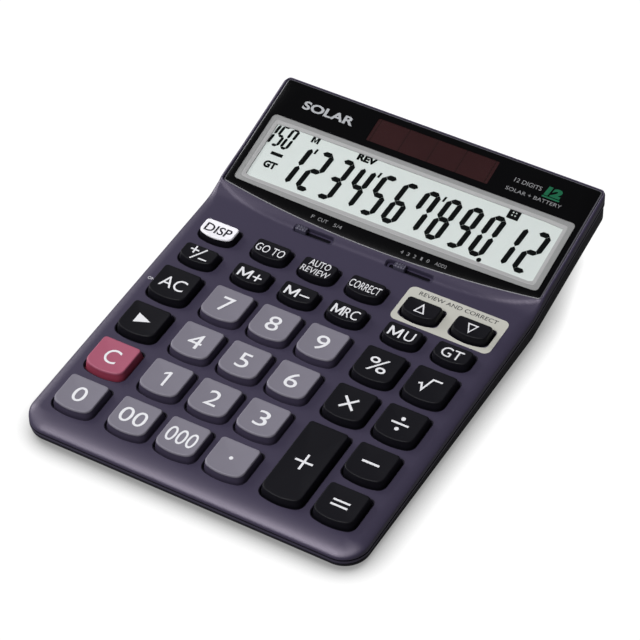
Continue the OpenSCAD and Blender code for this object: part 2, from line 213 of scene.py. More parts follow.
def makePiece(name, points, faces, materials, body="case", parts=None, smooth=40, turnOut=False):
    # faces is a list of index lists; parts gives each face's material number
    mesh = bpy.data.meshes.new(name)
    mesh.from_pydata(np.asarray(points, float).tolist(), [], faces)
    if turnOut:
        work = bmesh.new()
        work.from_mesh(mesh)
        bmesh.ops.recalc_face_normals(work, faces=work.faces)
        work.to_mesh(mesh)
        work.free()
    for m in materials:
        mesh.materials.append(m)
    if parts is not None:
        mesh.polygons.foreach_set("material_index", np.asarray(parts, np.int32))
    mesh.validate()
    piece = bpy.data.objects.new(name, mesh)
    bpy.context.collection.objects.link(piece)
    if smooth:
        mesh.shade_smooth()
        mesh.set_sharp_from_angle(angle=math.radians(smooth))
    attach(piece, body)
    return piece


def bandFaces(rings, n, first=0, flip=False):
    # quads between neighbouring rings of n points each
    i, j = np.meshgrid(np.arange(rings - 1), np.arange(n), indexing="ij")
    a = first + i * n + j
    b = first + i * n + (j + 1) % n
    c = b + n
    d = a + n
    quads = np.stack([a, b, c, d], -1).reshape(-1, 4)
    return (quads[:, ::-1] if flip else quads).tolist()


def lathed(name, outline, profile, materials, plane, body, parts=None, closeTop=True, smooth=40):
    # a profile of (outset, height) steps carried round an outline, closed by a flat cap at each end
    points, normals = outline
    n = len(points)
    rings = [np.column_stack([points + normals * out, np.full(n, h)]) for out, h in profile]
    faces = bandFaces(len(rings), n)
    faces += [list(range(n))[::-1], [(len(rings) - 1) * n + k for k in range(n)]]
    return makePiece(name, place(np.vstack(rings), plane), faces, materials, body, parts, smooth)


def insideRing(points, around):
    # even-odd rule: an odd number of the ring's edges lie to the right of a point that is inside
    a, b = around, np.roll(around, -1, 0)
    x, y = points[:, 0:1], points[:, 1:2]
    crosses = (a[:, 1] > y) != (b[:, 1] > y)
    at = a[:, 0] + (y - a[:, 1]) * (b[:, 0] - a[:, 0]) / (b[:, 1] - a[:, 1] + 1e-12)
    return (crosses & (x < at)).sum(1) % 2 == 1


def triangulate(outer, holes, extra):
    # flat triangles that fill the outer ring, keep clear of the holes and pass through the extra points
    rings = [outer] + holes
    points = np.vstack(rings + ([extra] if len(extra) else []))
    edges, start = [], 0
    for r in rings:
        k = np.arange(len(r))
        edges += np.column_stack([start + k, start + (k + 1) % len(r)]).tolist()
        start += len(r)
    out = delaunay_2d_cdt([Vector(p) for p in points.tolist()], edges, [], 1, 1e-5)
    flat, cells = np.array([tuple(v) for v in out[0]]), np.array([list(f) for f in out[2]])
    middles = flat[cells].mean(1)
    keep = insideRing(middles, outer)
    for h in holes:
        keep &= ~insideRing(middles, h)
    return flat, cells[keep].tolist()


def joinRows(points, faces):
    # merges points closer than a micrometre and returns the shorter lists
    keys = np.round(np.asarray(points) / 1e-6).astype(np.int64)
    _, first, inverse = np.unique(keys, axis=0, return_index=True, return_inverse=True)
    inverse = inverse.ravel()
    merged = []
    for f in faces:
        g = [int(inverse[i]) for i in f]
        g = [v for k, v in enumerate(g) if v != g[k - 1]]
        if len(g) > 2:
            merged.append(g)
    return np.asarray(points)[first], merged


# Shader groups shared by several materials

def newGroup(name, inputs, outputs):
    group = bpy.data.node_groups.new(name, "ShaderNodeTree")
    for label, kind, value in inputs:
        socket = group.interface.new_socket(name=label, in_out="INPUT", socket_type=kind)
        socket.default_value = value
    for label, kind in outputs:
        group.interface.new_socket(name=label, in_out="OUTPUT", socket_type=kind)
    return group, group.nodes.new("NodeGroupInput"), group.nodes.new("NodeGroupOutput")


def node(tree, kind, **values):
    # a node with its properties or its input sockets set by name
    made = tree.nodes.new(kind)
    for key, value in values.items():
        if key in made.inputs.keys():
            made.inputs[key].default_value = value
        elif key.startswith("in") and key[2:].isdigit():
            made.inputs[int(key[2:])].default_value = value
        else:
            setattr(made, key, value)
    return made


def mouldedGroup():
    # moulded plastic: a fine spark-eroded grain, faint flow marks in the colour, and drifting roughness
    group, gin, gout = newGroup("mouldedSurface", [
        ("Color", "NodeSocketColor", (0.5, 0.5, 0.5, 1)),
        ("Tone", "NodeSocketFloat", 0.06),
        ("Grain", "NodeSocketFloat", 0.12),
        ("Grain Scale", "NodeSocketFloat", 2600),
        ("Roughness", "NodeSocketFloat", 0.45),
    ], [("Color", "NodeSocketColor"), ("Roughness", "NodeSocketFloat"), ("Normal", "NodeSocketVector")])
    link = group.links.new
    coords = node(group, "ShaderNodeTexCoord")
    grain = node(group, "ShaderNodeTexNoise", Detail=3.0, Roughness=0.6)
    link(coords.outputs["Object"], grain.inputs["Vector"])
    link(gin.outputs["Grain Scale"], grain.inputs["Scale"])
    drift = node(group, "ShaderNodeTexNoise", Scale=28.0, Detail=2.0)
    link(coords.outputs["Object"], drift.inputs["Vector"])
    bump = node(group, "ShaderNodeBump", Distance=0.00002)
    link(gin.outputs["Grain"], bump.inputs["Strength"])
    link(grain.outputs["Fac"], bump.inputs["Height"])
    centre = node(group, "ShaderNodeMath", operation="SUBTRACT", in1=0.5)
    link(drift.outputs["Fac"], centre.inputs[0])
    shade = node(group, "ShaderNodeMath", operation="MULTIPLY_ADD", in2=1.0)
    link(centre.outputs[0], shade.inputs[0])
    link(gin.outputs["Tone"], shade.inputs[1])
    tint = node(group, "ShaderNodeVectorMath", operation="SCALE")
    link(gin.outputs["Color"], tint.inputs[0])
    link(shade.outputs[0], tint.inputs["Scale"])
    rough = node(group, "ShaderNodeMath", operation="MULTIPLY_ADD", in1=0.18)
    link(grain.outputs["Fac"], rough.inputs[0])
    link(gin.outputs["Roughness"], rough.inputs[2])
    link(tint.outputs[0], gout.inputs["Color"])
    link(rough.outputs[0], gout.inputs["Roughness"])
    link(bump.outputs[0], gout.inputs["Normal"])
    return group


moulded = mouldedGroup()


def plastic(name, color, rough=0.42, tone=0.06, grain=0.12, grainScale=2600, coat=0.0, specular=0.5, metallic=0.0):
    # a moulded plastic or paint in one base colour
    material = bpy.data.materials.new(name)
    material.use_nodes = True
    tree = material.node_tree
    shader = tree.nodes["Principled BSDF"]
    shader.inputs["Specular IOR Level"].default_value = specular
    shader.inputs["Coat Weight"].default_value = coat
    shader.inputs["Coat Roughness"].default_value = 0.12
    shader.inputs["Metallic"].default_value = metallic
    effect = node(tree, "ShaderNodeGroup", node_tree=moulded)
    effect.inputs["Color"].default_value = (*color, 1)
    effect.inputs["Tone"].default_value = tone
    effect.inputs["Grain"].default_value = grain
    effect.inputs["Grain Scale"].default_value = grainScale
    effect.inputs["Roughness"].default_value = rough
    for socket, target in (("Color", "Base Color"), ("Roughness", "Roughness"), ("Normal", "Normal")):
        tree.links.new(effect.outputs[socket], shader.inputs[target])
    return material


def solarFilm():
    # dark red-brown cell with fine dividing lines: a wave across the width, thresholded to thin bands
    material = plastic("solarFilm", (0.028, 0.0086, 0.0096), rough=0.3, tone=0.6, grain=0.0, specular=0.08)
    tree = material.node_tree
    shader = tree.nodes["Principled BSDF"]
    effect = next(n for n in tree.nodes if n.type == "GROUP")
    coords = node(tree, "ShaderNodeTexCoord")
    split = node(tree, "ShaderNodeSeparateXYZ")
    tree.links.new(coords.outputs["Object"], split.inputs[0])
    bands = node(tree, "ShaderNodeMath", operation="PINGPONG", in1=0.0063)
    tree.links.new(split.outputs["X"], bands.inputs[0])
    thin = node(tree, "ShaderNodeMath", operation="LESS_THAN", in1=0.0002)
    tree.links.new(bands.outputs[0], thin.inputs[0])
    mix = node(tree, "ShaderNodeMix", data_type="RGBA")
    tree.links.new(thin.outputs[0], mix.inputs["Factor"])
    tree.links.new(effect.outputs["Color"], mix.inputs[6])
    mix.inputs[7].default_value = (0.012, 0.005, 0.005, 1)
    tree.links.new(mix.outputs[2], shader.inputs["Base Color"])
    return material


def clearPane():
    # clear acrylic: almost nothing but its gloss
    material = plastic("clearPane", (0.02, 0.02, 0.02), rough=0.03, tone=0.01, grain=0.0, specular=0.15)
    material.node_tree.nodes["Principled BSDF"].inputs["Alpha"].default_value = 0.04
    return material


finishes = dict(
    casePlastic=plastic("slateCase", (0.0295, 0.0245, 0.05), specular=0.7, rough=0.32, tone=0.12, grain=0.1),
    basePlastic=plastic("darkBase", (0.008, 0.007, 0.013), rough=0.4, specular=0.3),
    keyBlack=plastic("blackKey", (0.004, 0.0038, 0.0062), rough=0.38, tone=0.2, specular=0.16),
    keySide=plastic("slateKeySide", (0.038, 0.031, 0.058), specular=0.4, rough=0.4, tone=0.15),
    # darker walls round the selector dishes: painted shade
    dishShade=plastic("selectorDishWall", (0.024, 0.02, 0.04), specular=0.2, rough=0.5, tone=0.12),
    # darker walls for the key holes, the selector slots and the groove round the case: painted shade
    holeShade=plastic("keyHoleWall", (0.009, 0.0075, 0.014), specular=0.12, rough=0.55, tone=0.15),
    keyGrey=plastic("greyKey", (0.158, 0.148, 0.185), rough=0.42, tone=0.1),
    keyRed=plastic("redKey", (0.31, 0.07, 0.122), rough=0.4),
    # the red key's sides: the same red painted darker, a painted shade
    keyRedSide=plastic("redKeySide", (0.24, 0.03, 0.06), rough=0.42),
    keyWhite=plastic("whiteKey", (0.78, 0.77, 0.82), rough=0.42, tone=0.03),
    panelBlack=plastic("panelPrint", (0.0022, 0.0022, 0.0026), rough=0.12, tone=0.1, grain=0.0, specular=0.07),
    # the lens's bevelled edge in a light grey: a painted highlight along the rim
    lensRim=plastic("clearEdge", (0.085, 0.083, 0.098), rough=0.3, tone=0.1),
    trimSilver=plastic("silverTrim", (0.265, 0.268, 0.27), rough=0.4, tone=0.08),
    trimLight=plastic("silverTrimInner", (0.38, 0.38, 0.385), rough=0.4, tone=0.06),
    reflector=plastic("displayReflector", (0.625, 0.675, 0.66), rough=0.6, tone=0.04, grain=0.05, specular=0.1),
    ink=plastic("displayInk", (0.002, 0.003, 0.003), rough=0.6, specular=0.03),
    whitePrint=plastic("whiteLegend", (0.66, 0.66, 0.69), rough=0.5, tone=0.04),
    darkPrint=plastic("darkLegend", (0.018, 0.017, 0.024), rough=0.5, specular=0.2),
    dimPrint=plastic("dimPanelPrint", (0.2, 0.2, 0.21), rough=0.5, specular=0.2),
    brightPrint=plastic("brightPanelPrint", (0.36, 0.37, 0.39), rough=0.4, specular=0.2),
    greenPrint=plastic("greenBadge", (0.003, 0.095, 0.042), rough=0.4, specular=0.2),
    beigePrint=plastic("beigeSurround", (0.45, 0.445, 0.405), rough=0.5, tone=0.08),
    selector=plastic("selectorPlastic", (0.05, 0.046, 0.075), rough=0.35, tone=0.2),
    rubber=plastic("footRubber", (0.012, 0.012, 0.013), rough=0.7, grain=0.35, grainScale=900),
    solarFilm=solarFilm(),
    clearPane=clearPane(),
    naturalPlastic=plastic("naturalPlastic", (0.62, 0.6, 0.55), rough=0.5),
    ribbonFilm=plastic("ribbonFilm", (0.45, 0.2, 0.03), rough=0.25, tone=0.2),
    leadSleeve=plastic("leadSleeve", (0.3, 0.02, 0.02), rough=0.4),
    boardGreen=plastic("boardGreen", (0.01, 0.09, 0.035), rough=0.3, tone=0.5, grain=0.3, grainScale=500),
    keypadRubber=plastic("keypadRubber", (0.4, 0.4, 0.43), rough=0.65, grain=0.2, grainScale=1200),
    chipBlack=plastic("chipBlack", (0.01, 0.01, 0.011), rough=0.5, grain=0.3),
    partsBlue=plastic("partsBlue", (0.02, 0.04, 0.16), rough=0.35),
    cellSteel=plastic("cellSteel", (0.55, 0.55, 0.54), rough=0.25, grain=0.1, metallic=1.0),
    contactMetal=plastic("contactMetal", (0.6, 0.55, 0.45), rough=0.3, grain=0.1, metallic=1.0),
    screwSteel=plastic("screwSteel", (0.38, 0.38, 0.4), rough=0.35, grain=0.3, grainScale=4000, metallic=1.0),
)
# the case's gloss is a little purple
slateGloss = finishes["casePlastic"].node_tree.nodes["Principled BSDF"].inputs["Specular Tint"]
slateGloss.default_value = (0.94, 0.85, 1, 1)
print("materials ready")


# Upper case

frameShape = dict(
    outerWidth=133.0, outerLow=9.9, outerHigh=42.8, bow=1.2, corner=1.8, middle=26.25,
    windowWidth=125.4, windowDepth=26.4,
)
solarShape = dict(width=53.4, depth=11.2, middle=51.2)


def roundedRectangle(w, d, r, x=0.0, y=0.0, corner=6, side=4):
    hw, hd, q = w / 2, d / 2, math.pi / 2
    points, normals = ring([
        line((hw, -hd + r), (hw, hd - r), side, (1, 0)),
        arc(hw - r, hd - r, r, 0, q, corner),
        line((hw - r, hd), (-hw + r, hd), side, (0, 1)),
        arc(-hw + r, hd - r, r, q, 2 * q, corner),
        line((-hw, hd - r), (-hw, -hd + r), side, (-1, 0)),
        arc(-hw + r, -hd + r, r, 2 * q, 3 * q, corner),
        line((-hw + r, -hd), (hw - r, -hd), side, (0, -1)),
        arc(hw - r, -hd + r, r, 3 * q, 4 * q, corner),
    ])
    return points + [x, y], normals


rimShape = dict(
    frontWidth=8.6, frontDrop=3.1, sideWidth=4.4, sideDrop=1.5, headWidth=0.72, headDrop=0.6, power=1.7,
)


def rimSizes(points, normals):
    # width and drop of the rolled edge round the outline: wide at the front, narrow at the head
    front = smoothStep((-normals[:, 1] - 0.15) / 0.85) * (points[:, 1] < 0)
    head = smoothStep((points[:, 1] - foldY + 6) / 14)
    side = [rimShape["sideWidth"] + (rimShape["headWidth"] - rimShape["sideWidth"]) * head,
            rimShape["sideDrop"] + (rimShape["headDrop"] - rimShape["sideDrop"]) * head]
    return (side[0] + (rimShape["frontWidth"] - side[0]) * front,
            side[1] + (rimShape["frontDrop"] - side[1]) * front)


def rolled(f):
    # share of the drop at a share f of the width in from the edge: a quarter of a superellipse
    p = rimShape["power"]
    return 1 - (1 - (1 - f) ** p) ** (1 / p)


def seamHeight(points):
    return np.maximum(keyHeight(points[:, 1]), headHeight(points[:, 1])) - caseShape["seamDrop"]


keyShape = dict(
    rise=3.0, bow=1.8, flare=0.8, backRadius=1.3, frontRadius=3.4, smallRadius=2.6, edge=0.75, edgeShare=0.55,
    dish=0.3, holeGap=0.55, flangeLip=0.8, lip=0.35, lift=0.05,
)


def keyCentre(nodeName):
    # middle of a key on the key plane, from its box, whose widest part is the flange below the deck
    low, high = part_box(nodeName)
    tilt = math.radians(caseShape["keyTilt"])
    flangeDepth = 2.35
    return (low.x + high.x) / 2 / mm, ((low.y + high.y) / 2 / mm - flangeDepth * math.sin(tilt)) / math.cos(tilt)


def keySize(nodeName):
    # width and depth of a key's top, from its box
    low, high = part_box(nodeName)
    extra = keyShape["flare"] + 2 * keyShape["flangeLip"]
    level = math.cos(math.radians(caseShape["keyTilt"]))
    return (high.x - low.x) / mm - extra, (high.y - low.y) / mm / level - extra


keyNames = [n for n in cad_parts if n.startswith("key_")]


def onDeck(points):
    # key-plane coordinates to the case's own x and y
    turn, shift = keyPlane
    return np.column_stack([points[:, 0], points[:, 1] * turn[1, 1] + shift[1]])


def slopeToDeck(points):
    # slope coordinates of the head to the case's own x and y
    return np.column_stack([points[:, 0], foldY + points[:, 1] * math.cos(math.radians(caseShape["headTilt"]))])


def keyHole(nodeName, grow):
    x, y = keyCentre(nodeName)
    w, d = keySize(nodeName)
    extra = keyShape["flare"] + 2 * grow
    points, normals = bowedOutline(w + extra, d + extra, keyShape["bow"], keyShape["backRadius"] + 0.6,
                                   keyShape["frontRadius"] + 0.5)
    return onDeck(points + [x, y])


switchShape = dict(
    y=35.6, dishDepth=2.8, dishSink=1.0, slotDepth=1.6, knobWidth=4.8, stemWidth=3.0, corner=1.2, lip=0.7,
    roundingX=-28.8, roundingTravel=11.0, decimalX=14.3, decimalTravel=14.0, decimalBack=2.8,
)


switchSpans = (
    (switchShape["roundingX"], 0, switchShape["roundingTravel"]),
    (switchShape["decimalX"], -switchShape["decimalBack"],
     switchShape["decimalTravel"] - switchShape["decimalBack"]),
)


def switchRing(x, low, high, width, depth, grow):
    # outline round a selector's whole travel, grown more towards the user than away
    w, d = high - low + width + 0.6 + 2 * grow, depth + 1.6 * grow
    r = min(switchShape["corner"], depth / 2.2)
    points, normals = bowedOutline(w, d, 0.02, r, r, corner=6, front=10)
    return onDeck(points + [x + (low + high) / 2, switchShape["y"] - 0.3 * grow])


def frameOutline():
    # opening for the silver frame: straight sides and top, slightly bowed lower edge
    low, high, r = frameShape["outerLow"] - frameShape["bow"], frameShape["outerHigh"], frameShape["corner"]
    points, normals = bowedOutline(frameShape["outerWidth"], high - low, frameShape["bow"], r, r, sides=12, corner=8,
                                   front=40)
    return points + [0, (low + high) / 2], normals


def thicknessAt(points):
    # the deck's underside is flat below the ledge; the head is thicker than the deck
    y = points[:, 1]
    deck = topHeight(points[:, 0], y) - keyHeight(y) + caseShape["deckThickness"]
    return np.where(y > foldY + 3.2, caseShape["headThickness"], deck)


def lowered(points, drop):
    # points of the top surface, lowered by their own drops
    return deckPoints(points, 0) - np.column_stack([np.zeros((len(points), 2)), drop]) * mm


def floorDrop(points):
    # depth of a selector dish's flat floor below the top surface
    return topHeight(points[:, 0], points[:, 1]) - keyHeight(points[:, 1]) + switchShape["dishSink"]


def curvedPoints(flatRing, rings):
    # a grid of extra points where the top surface is curved, kept clear of every ring
    gx, gy = np.meshgrid(np.arange(-halfW + 1, halfW - 0.5, 0.9), np.arange(25.5, 46, 0.6))
    extra = np.column_stack([gx.ravel(), gy.ravel()])
    keep = np.abs(extra[:, 0]) < halfW - 4.6 * (1 - smoothStep((extra[:, 1] - foldY + 6) / 14)) - 1.2
    for r in rings + [flatRing]:
        keep &= np.sqrt(((extra[:, None, :] - r[None, :, :]) ** 2).sum(-1)).min(1) > 0.35
    return extra[keep]


def buildUpperCase():
    outline, normals = caseOutline()
    width, drop = rimSizes(outline, normals)
    # rolled edge, from the flat top out to the side, then down to the seam and back up inside
    shares = (1 - np.cos(np.linspace(0, math.pi / 2, 13))) ** 0.8
    rows = [lowered(outline - normals * (width * f)[:, None], drop * rolled(f)) for f in shares[::-1]]
    seam = seamHeight(outline)
    groove, groovesAt = caseShape["groove"], len(rows) * len(outline)
    for inset, lift in ((0, 1.95), (groove, 1.9), (groove, 1.25), (0, 1.2), (0, 0.25), (0.2, 0)):
        reach = np.minimum(inset, width * 0.9)[:, None]
        rows.append(np.column_stack([outline - normals * reach, seam + lift]) * mm)
    inner = np.minimum(1.8, width * 0.95)
    innerRing, flatRing = outline - normals * inner[:, None], outline - normals * width[:, None]
    rows.append(np.column_stack([innerRing, seam]) * mm)
    rows.append(lowered(innerRing, thicknessAt(innerRing) + drop * rolled(inner / width)))
    rows.append(lowered(flatRing, thicknessAt(flatRing)))
    allPoints, allFaces = [np.vstack(rows)], bandFaces(len(rows), len(outline), flip=True)
    start = len(allPoints[0])
    parts = [0] * len(allFaces)
    # the groove's three bands of faces take finish 1, darker: painted shade in the groove
    parts[groovesAt:groovesAt + 3 * len(outline)] = [1] * 3 * len(outline)

    def addSheet(outer, holes, extra, drop, flip):
        nonlocal start
        flat, cells = triangulate(outer, holes, extra)
        allPoints.append(lowered(flat, drop(flat)))
        allFaces.extend([start + i for i in (f[::-1] if flip else f)] for f in cells)
        parts.extend([0] * len(cells))
        start += len(flat)

    def addWall(steps, part=0):
        # steps are (ring, drop) pairs from the lip down; part is the number of the wall's finish
        nonlocal start
        wall = [lowered(r, np.broadcast_to(d, len(r))) for r, d in steps]
        allPoints.extend(wall)
        band = bandFaces(len(wall), len(wall[0]), first=start, flip=True)
        allFaces.extend(band)
        parts.extend([part] * len(band))
        start += sum(len(w) for w in wall)

    lip, gap = keyShape["lip"], keyShape["holeGap"]
    through = []
    for name in keyNames:
        rings = [keyHole(name, gap + lip * f) for f in (1, 0.3, 0)]
        through.append((rings, lip))
    # each key hole's wall takes finish 1, darker: painted shade in the gap round the key
    for rings, edge in through:
        addWall([(rings[0], 0), (rings[1], edge * 0.3), (rings[2], edge), (rings[2], thicknessAt(rings[2]) - 0.1),
                 (rings[0], thicknessAt(rings[0]))], 1)
    # each selector slides in a shallow dish with a flat floor and a slot through it
    g = switchShape
    dishes, slots = [], []
    for x, low, high in switchSpans:
        rims = [switchRing(x, low, high, g["knobWidth"], g["dishDepth"], g["lip"] * f)
                for f in (1, 0.65, 0.3, 0.08, 0)]
        slot = switchRing(x, low, high, g["stemWidth"], g["slotDepth"], 0)
        sinks = (0, 0.06, 0.32, 0.7)
        # the dish's sloping walls take finish 2, darker: painted shade round the dish
        addWall([(r, floorDrop(r) * f) for r, f in zip(rims, sinks)] + [(rims[-1], floorDrop(rims[-1]))], 2)
        addSheet(rims[-1], [slot], np.empty((0, 2)), floorDrop, False)
        # the slot's walls take finish 1, darker: painted shade in the slot
        addWall([(slot, floorDrop(slot)), (slot, thicknessAt(slot))], 1)
        dishes.append(rims[0])
        slots.append(slot)
    lens = [slopeToDeck(lensOutline(g)[0]) for g in (0.45, 0.25, 0.12)]
    windows = [slopeToDeck(roundedRectangle(w, d, 0.8, 0, y)[0]) for w, d, y in (
        (frameShape["windowWidth"], frameShape["windowDepth"], frameShape["middle"]),
        (solarShape["width"], solarShape["depth"], solarShape["middle"]))]
    pocket = lensShape["pocket"]
    addWall([(lens[0], 0), (lens[1], 0.08), (lens[2], 0.3), (lens[2], pocket)])
    for w in windows:
        addWall([(w, pocket), (w, thicknessAt(w))])
    keyHoles = [r[0] for r, _ in through]
    extra = curvedPoints(flatRing, keyHoles + dishes + [lens[0]])
    addSheet(flatRing, keyHoles + dishes + [lens[0]], extra, lambda p: np.zeros(len(p)), False)
    addSheet(lens[2], windows, np.empty((0, 2)), lambda p: np.full(len(p), pocket), False)
    addSheet(flatRing, keyHoles + slots + windows, extra, thicknessAt, True)
    points, faces = joinRows(np.vstack(allPoints), allFaces)
    shades = [finishes[f] for f in ("casePlastic", "holeShade", "dishShade")]
    piece = makePiece("upperCase", points, faces, shades, parts=parts, smooth=38)
    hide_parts("upper_case")
    return piece


upperCase = buildUpperCase()
print("upper case built", len(upperCase.data.polygons))


# Keys

def ringsFor(w, d, bow, backR, frontR, height):
    points, _ = bowedOutline(w, d, bow, backR, frontR)
    return np.column_stack([points, np.full(len(points), height)])


def dishDrop(share):
    # the top is hollowed like a shallow bowl: nothing at its edge, the whole dish in the middle
    return keyShape["dish"] * (1 - share ** 2)


def flatSize(nodeName):
    # width and depth of the dished area inside the rounded edge
    w, d = keySize(nodeName)
    inset = 2 * keyShape["edge"] * keyShape["edgeShare"]
    return w - inset, d - inset


def keyTopHeight(nodeName, local):
    # height of a key's top at points measured from its middle; its rings are scaled copies of one bowed outline
    w, d = flatSize(nodeName)
    x, y = np.abs(local[:, 0]) / (w / 2), local[:, 1]
    # the bowed front edge scaled by f passes through x, y when d f^2 / 2 + y f - bow x^2 = 0
    bowed = (np.sqrt(y ** 2 + 2 * d * keyShape["bow"] * x ** 2) - y) / d
    share = np.clip(np.maximum(np.maximum(x, 2 * y / d), bowed), 0, 1)
    return keyShape["rise"] - dishDrop(share)


def buildKey(nodeName, topFinish, sideFinish):
    w, d = keySize(nodeName)
    x, y = keyCentre(nodeName)
    e, bow, rise = keyShape["edge"], keyShape["bow"], keyShape["rise"]
    br, fr = keyShape["backRadius"], keyShape["smallRadius" if d < 10 else "frontRadius"]
    flatW, flatD = flatSize(nodeName)
    # each row is one ring: outline size, share for the corners, height
    steps = [(flatW * f, flatD * f, f, rise - dishDrop(f)) for f in (0.04, 0.25, 0.5, 0.7, 0.85, 0.95, 1.0)]
    topRings = len(steps)
    for a in np.linspace(0, math.pi / 2, 7)[1:]:
        grow = (w - flatW) * math.sin(a)
        steps.append((flatW + grow, flatD + grow, 1, rise - e * (1 - math.cos(a))))
    flare = keyShape["flare"]
    steps += [(w + flare * f, d + flare * f, 1, (rise - e) * (1 - f)) for f in (0.3, 0.65, 1.0)]
    wide = flare + 2 * keyShape["flangeLip"]
    steps += [(w + g, d + g, 1, z) for g, z in ((flare, -2.0), (wide, -2.02), (wide, -2.7), (flare - 6, -2.72))]
    rows = [ringsFor(rw, rd, bow * f, br * f, fr * f, z) for rw, rd, f, z in steps]
    n = len(rows[0])
    faces = bandFaces(len(rows), n, flip=True)
    parts = np.repeat(np.arange(len(rows) - 1) >= topRings + 5, n).astype(int)
    faces += [list(range(n)), [(len(rows) - 1) * n + k for k in range(n)][::-1]]
    parts = np.append(parts, [0, 1])
    points = np.vstack(rows) + [x, y, 0]
    piece = makePiece(nodeName.replace("key_", "cap_"), place(points, keyPlane), faces, [topFinish, sideFinish],
                      nodeName + "_body", parts, smooth=50)
    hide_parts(nodeName)
    return piece


numberKeys = ["0", "00", "000", "point"] + [str(i) for i in range(1, 10)]
for name in keyNames:
    label = name[4:]
    if label in numberKeys:
        buildKey(name, finishes["keyGrey"], finishes["keySide"])
    elif label == "c":
        buildKey(name, finishes["keyRed"], finishes["keyRedSide"])
    elif label == "disp":
        buildKey(name, finishes["keyWhite"], finishes["keyBlack"])
    else:
        buildKey(name, finishes["keyBlack"], finishes["keyBlack"])
print("keys built", len(keyNames))


# Lettering: generic legends, each a thin closed solid

def lettering(text, width, height, x=0.0, y=0.0, bold=0.0, slant=0.0, depth=0.03):
    # text stretched to a width and height, its middle at x, y, as points and faces in its own plane
    curve = bpy.data.curves.new("lettering", "FONT")
    curve.body = text
    curve.offset = bold
    curve.resolution_u = 5
    curve.extrude = 0.5
    holder = bpy.data.objects.new("lettering", curve)
    bpy.context.collection.objects.link(holder)
    bpy.context.view_layer.update()
    mesh = bpy.data.meshes.new_from_object(holder)
    points = np.empty(len(mesh.vertices) * 3)
    mesh.vertices.foreach_get("co", points)
    faces = [list(p.vertices) for p in mesh.polygons]
    bpy.data.objects.remove(holder)
    bpy.data.meshes.remove(mesh)
    points = points.reshape(-1, 3)
    low, high = points.min(0), points.max(0)
    points = (points - (low + high) / 2) * (np.array([width, height, depth]) / (high - low))
    points[:, 0] += points[:, 1] * slant
    return points + [x, y, 0], faces


def extruded(outlines, depth=0.03):
    # flat closed outlines, each raised into a thin solid
    points, faces, start = [], [], 0
    for o in outlines:
        n = len(o)
        points.append(np.vstack([np.column_stack([o, np.full(n, h)]) for h in (-depth / 2, depth / 2)]))
        faces += [[start + k for k in range(n)][::-1], [start + n + k for k in range(n)]]
        faces += [[start + k, start + (k + 1) % n, start + n + (k + 1) % n, start + n + k] for k in range(n)]
        start += 2 * n
    return np.vstack(points), faces


def stroke(path, width, closed=False, depth=0.03):
    # a line of even width along a path, mitred at its corners, as a thin solid
    p = np.array(path, float)
    after, before = np.roll(p, -1, 0) - p, p - np.roll(p, 1, 0)
    if not closed:
        after[-1], before[0] = before[-1], after[0]
    unit = [v / np.linalg.norm(v, axis=1)[:, None] for v in (before, after)]
    side = [np.column_stack([-v[:, 1], v[:, 0]]) for v in unit]
    mitre = side[0] + side[1]
    mitre *= (width / (mitre * side[0]).sum(1) / 2)[:, None]
    n = len(p)
    edges = p + mitre, p - mitre
    points = np.vstack([np.column_stack([q, np.full(n, h)]) for h in (-depth / 2, depth / 2) for q in edges])
    faces = []
    for k in range(n if closed else n - 1):
        m = (k + 1) % n
        faces += [[k, m, n + m, n + k], [2 * n + k, 3 * n + k, 3 * n + m, 2 * n + m],
                  [k, 2 * n + k, 2 * n + m, m], [n + k, n + m, 3 * n + m, 3 * n + k]]
    if not closed:
        faces += [[k, n + k, 3 * n + k, 2 * n + k] for k in (0, n - 1)]
    return points, faces


def together(*shapes):
    # several point and face lists as one
    points, faces, start = [], [], 0
    for p, f in shapes:
        points.append(p)
        faces += [[start + i for i in g] for g in f]
        start += len(p)
    return np.vstack(points), faces


def bar(x, y, w, d, angle=0.0):
    # rectangle centred at x, y and turned
    c, s = math.cos(math.radians(angle)), math.sin(math.radians(angle))
    corners = np.array([[-w, -d], [w, -d], [w, d], [-w, d]]) / 2
    return corners @ np.array([[c, s], [-s, c]]) + [x, y]


def cross(x, y, w, h, t, angle=0.0):
    # twelve-cornered outline of a plus sign
    a, b, q = w / 2, h / 2, t / 2
    corners = np.array([[q, q], [q, b], [-q, b], [-q, q], [-a, q], [-a, -q], [-q, -q], [-q, -b], [q, -b], [q, -q],
                        [a, -q], [a, q]])
    c, s = math.cos(math.radians(angle)), math.sin(math.radians(angle))
    return corners @ np.array([[c, s], [-s, c]]) + [x, y]


def letterM(x, y, w, h, t=0.15):
    # outline of a capital M, its strokes t wide as a share of its width
    k = t * 0.75
    corners = np.array([[0, 0], [t, 0], [t, 0.66], [0.5 - k / 2, 0.1], [0.5 + k / 2, 0.1], [1 - t, 0.66], [1 - t, 0],
                        [1, 0], [1, 1], [1 - t * 1.1, 1], [0.5, 0.36], [t * 1.1, 1], [0, 1]])
    return (corners - 0.5) * [w, h] + [x, y]


def figureOne(x, y, w, h, t):
    # outline of a figure one: a stem and a short flag
    tip = h * 0.84
    corners = np.array([[w - t, 0], [w, 0], [w, h], [w - t, h], [0, tip], [0, tip - t * 0.9], [w - t, h - t]])
    return corners - [w / 2, h / 2] + [x, y]


def legendOnKey(nodeName, shape, finish):
    points, faces = shape
    x, y = keyCentre(nodeName)
    z = keyTopHeight(nodeName, points[:, :2]) + points[:, 2] + keyShape["lift"]
    placed = place(np.column_stack([points[:, :2] + [x, y], z]), keyPlane)
    return makePiece(nodeName.replace("key_", "legend_"), placed, faces, [finish], nodeName + "_body",
                     smooth=0, turnOut=True)


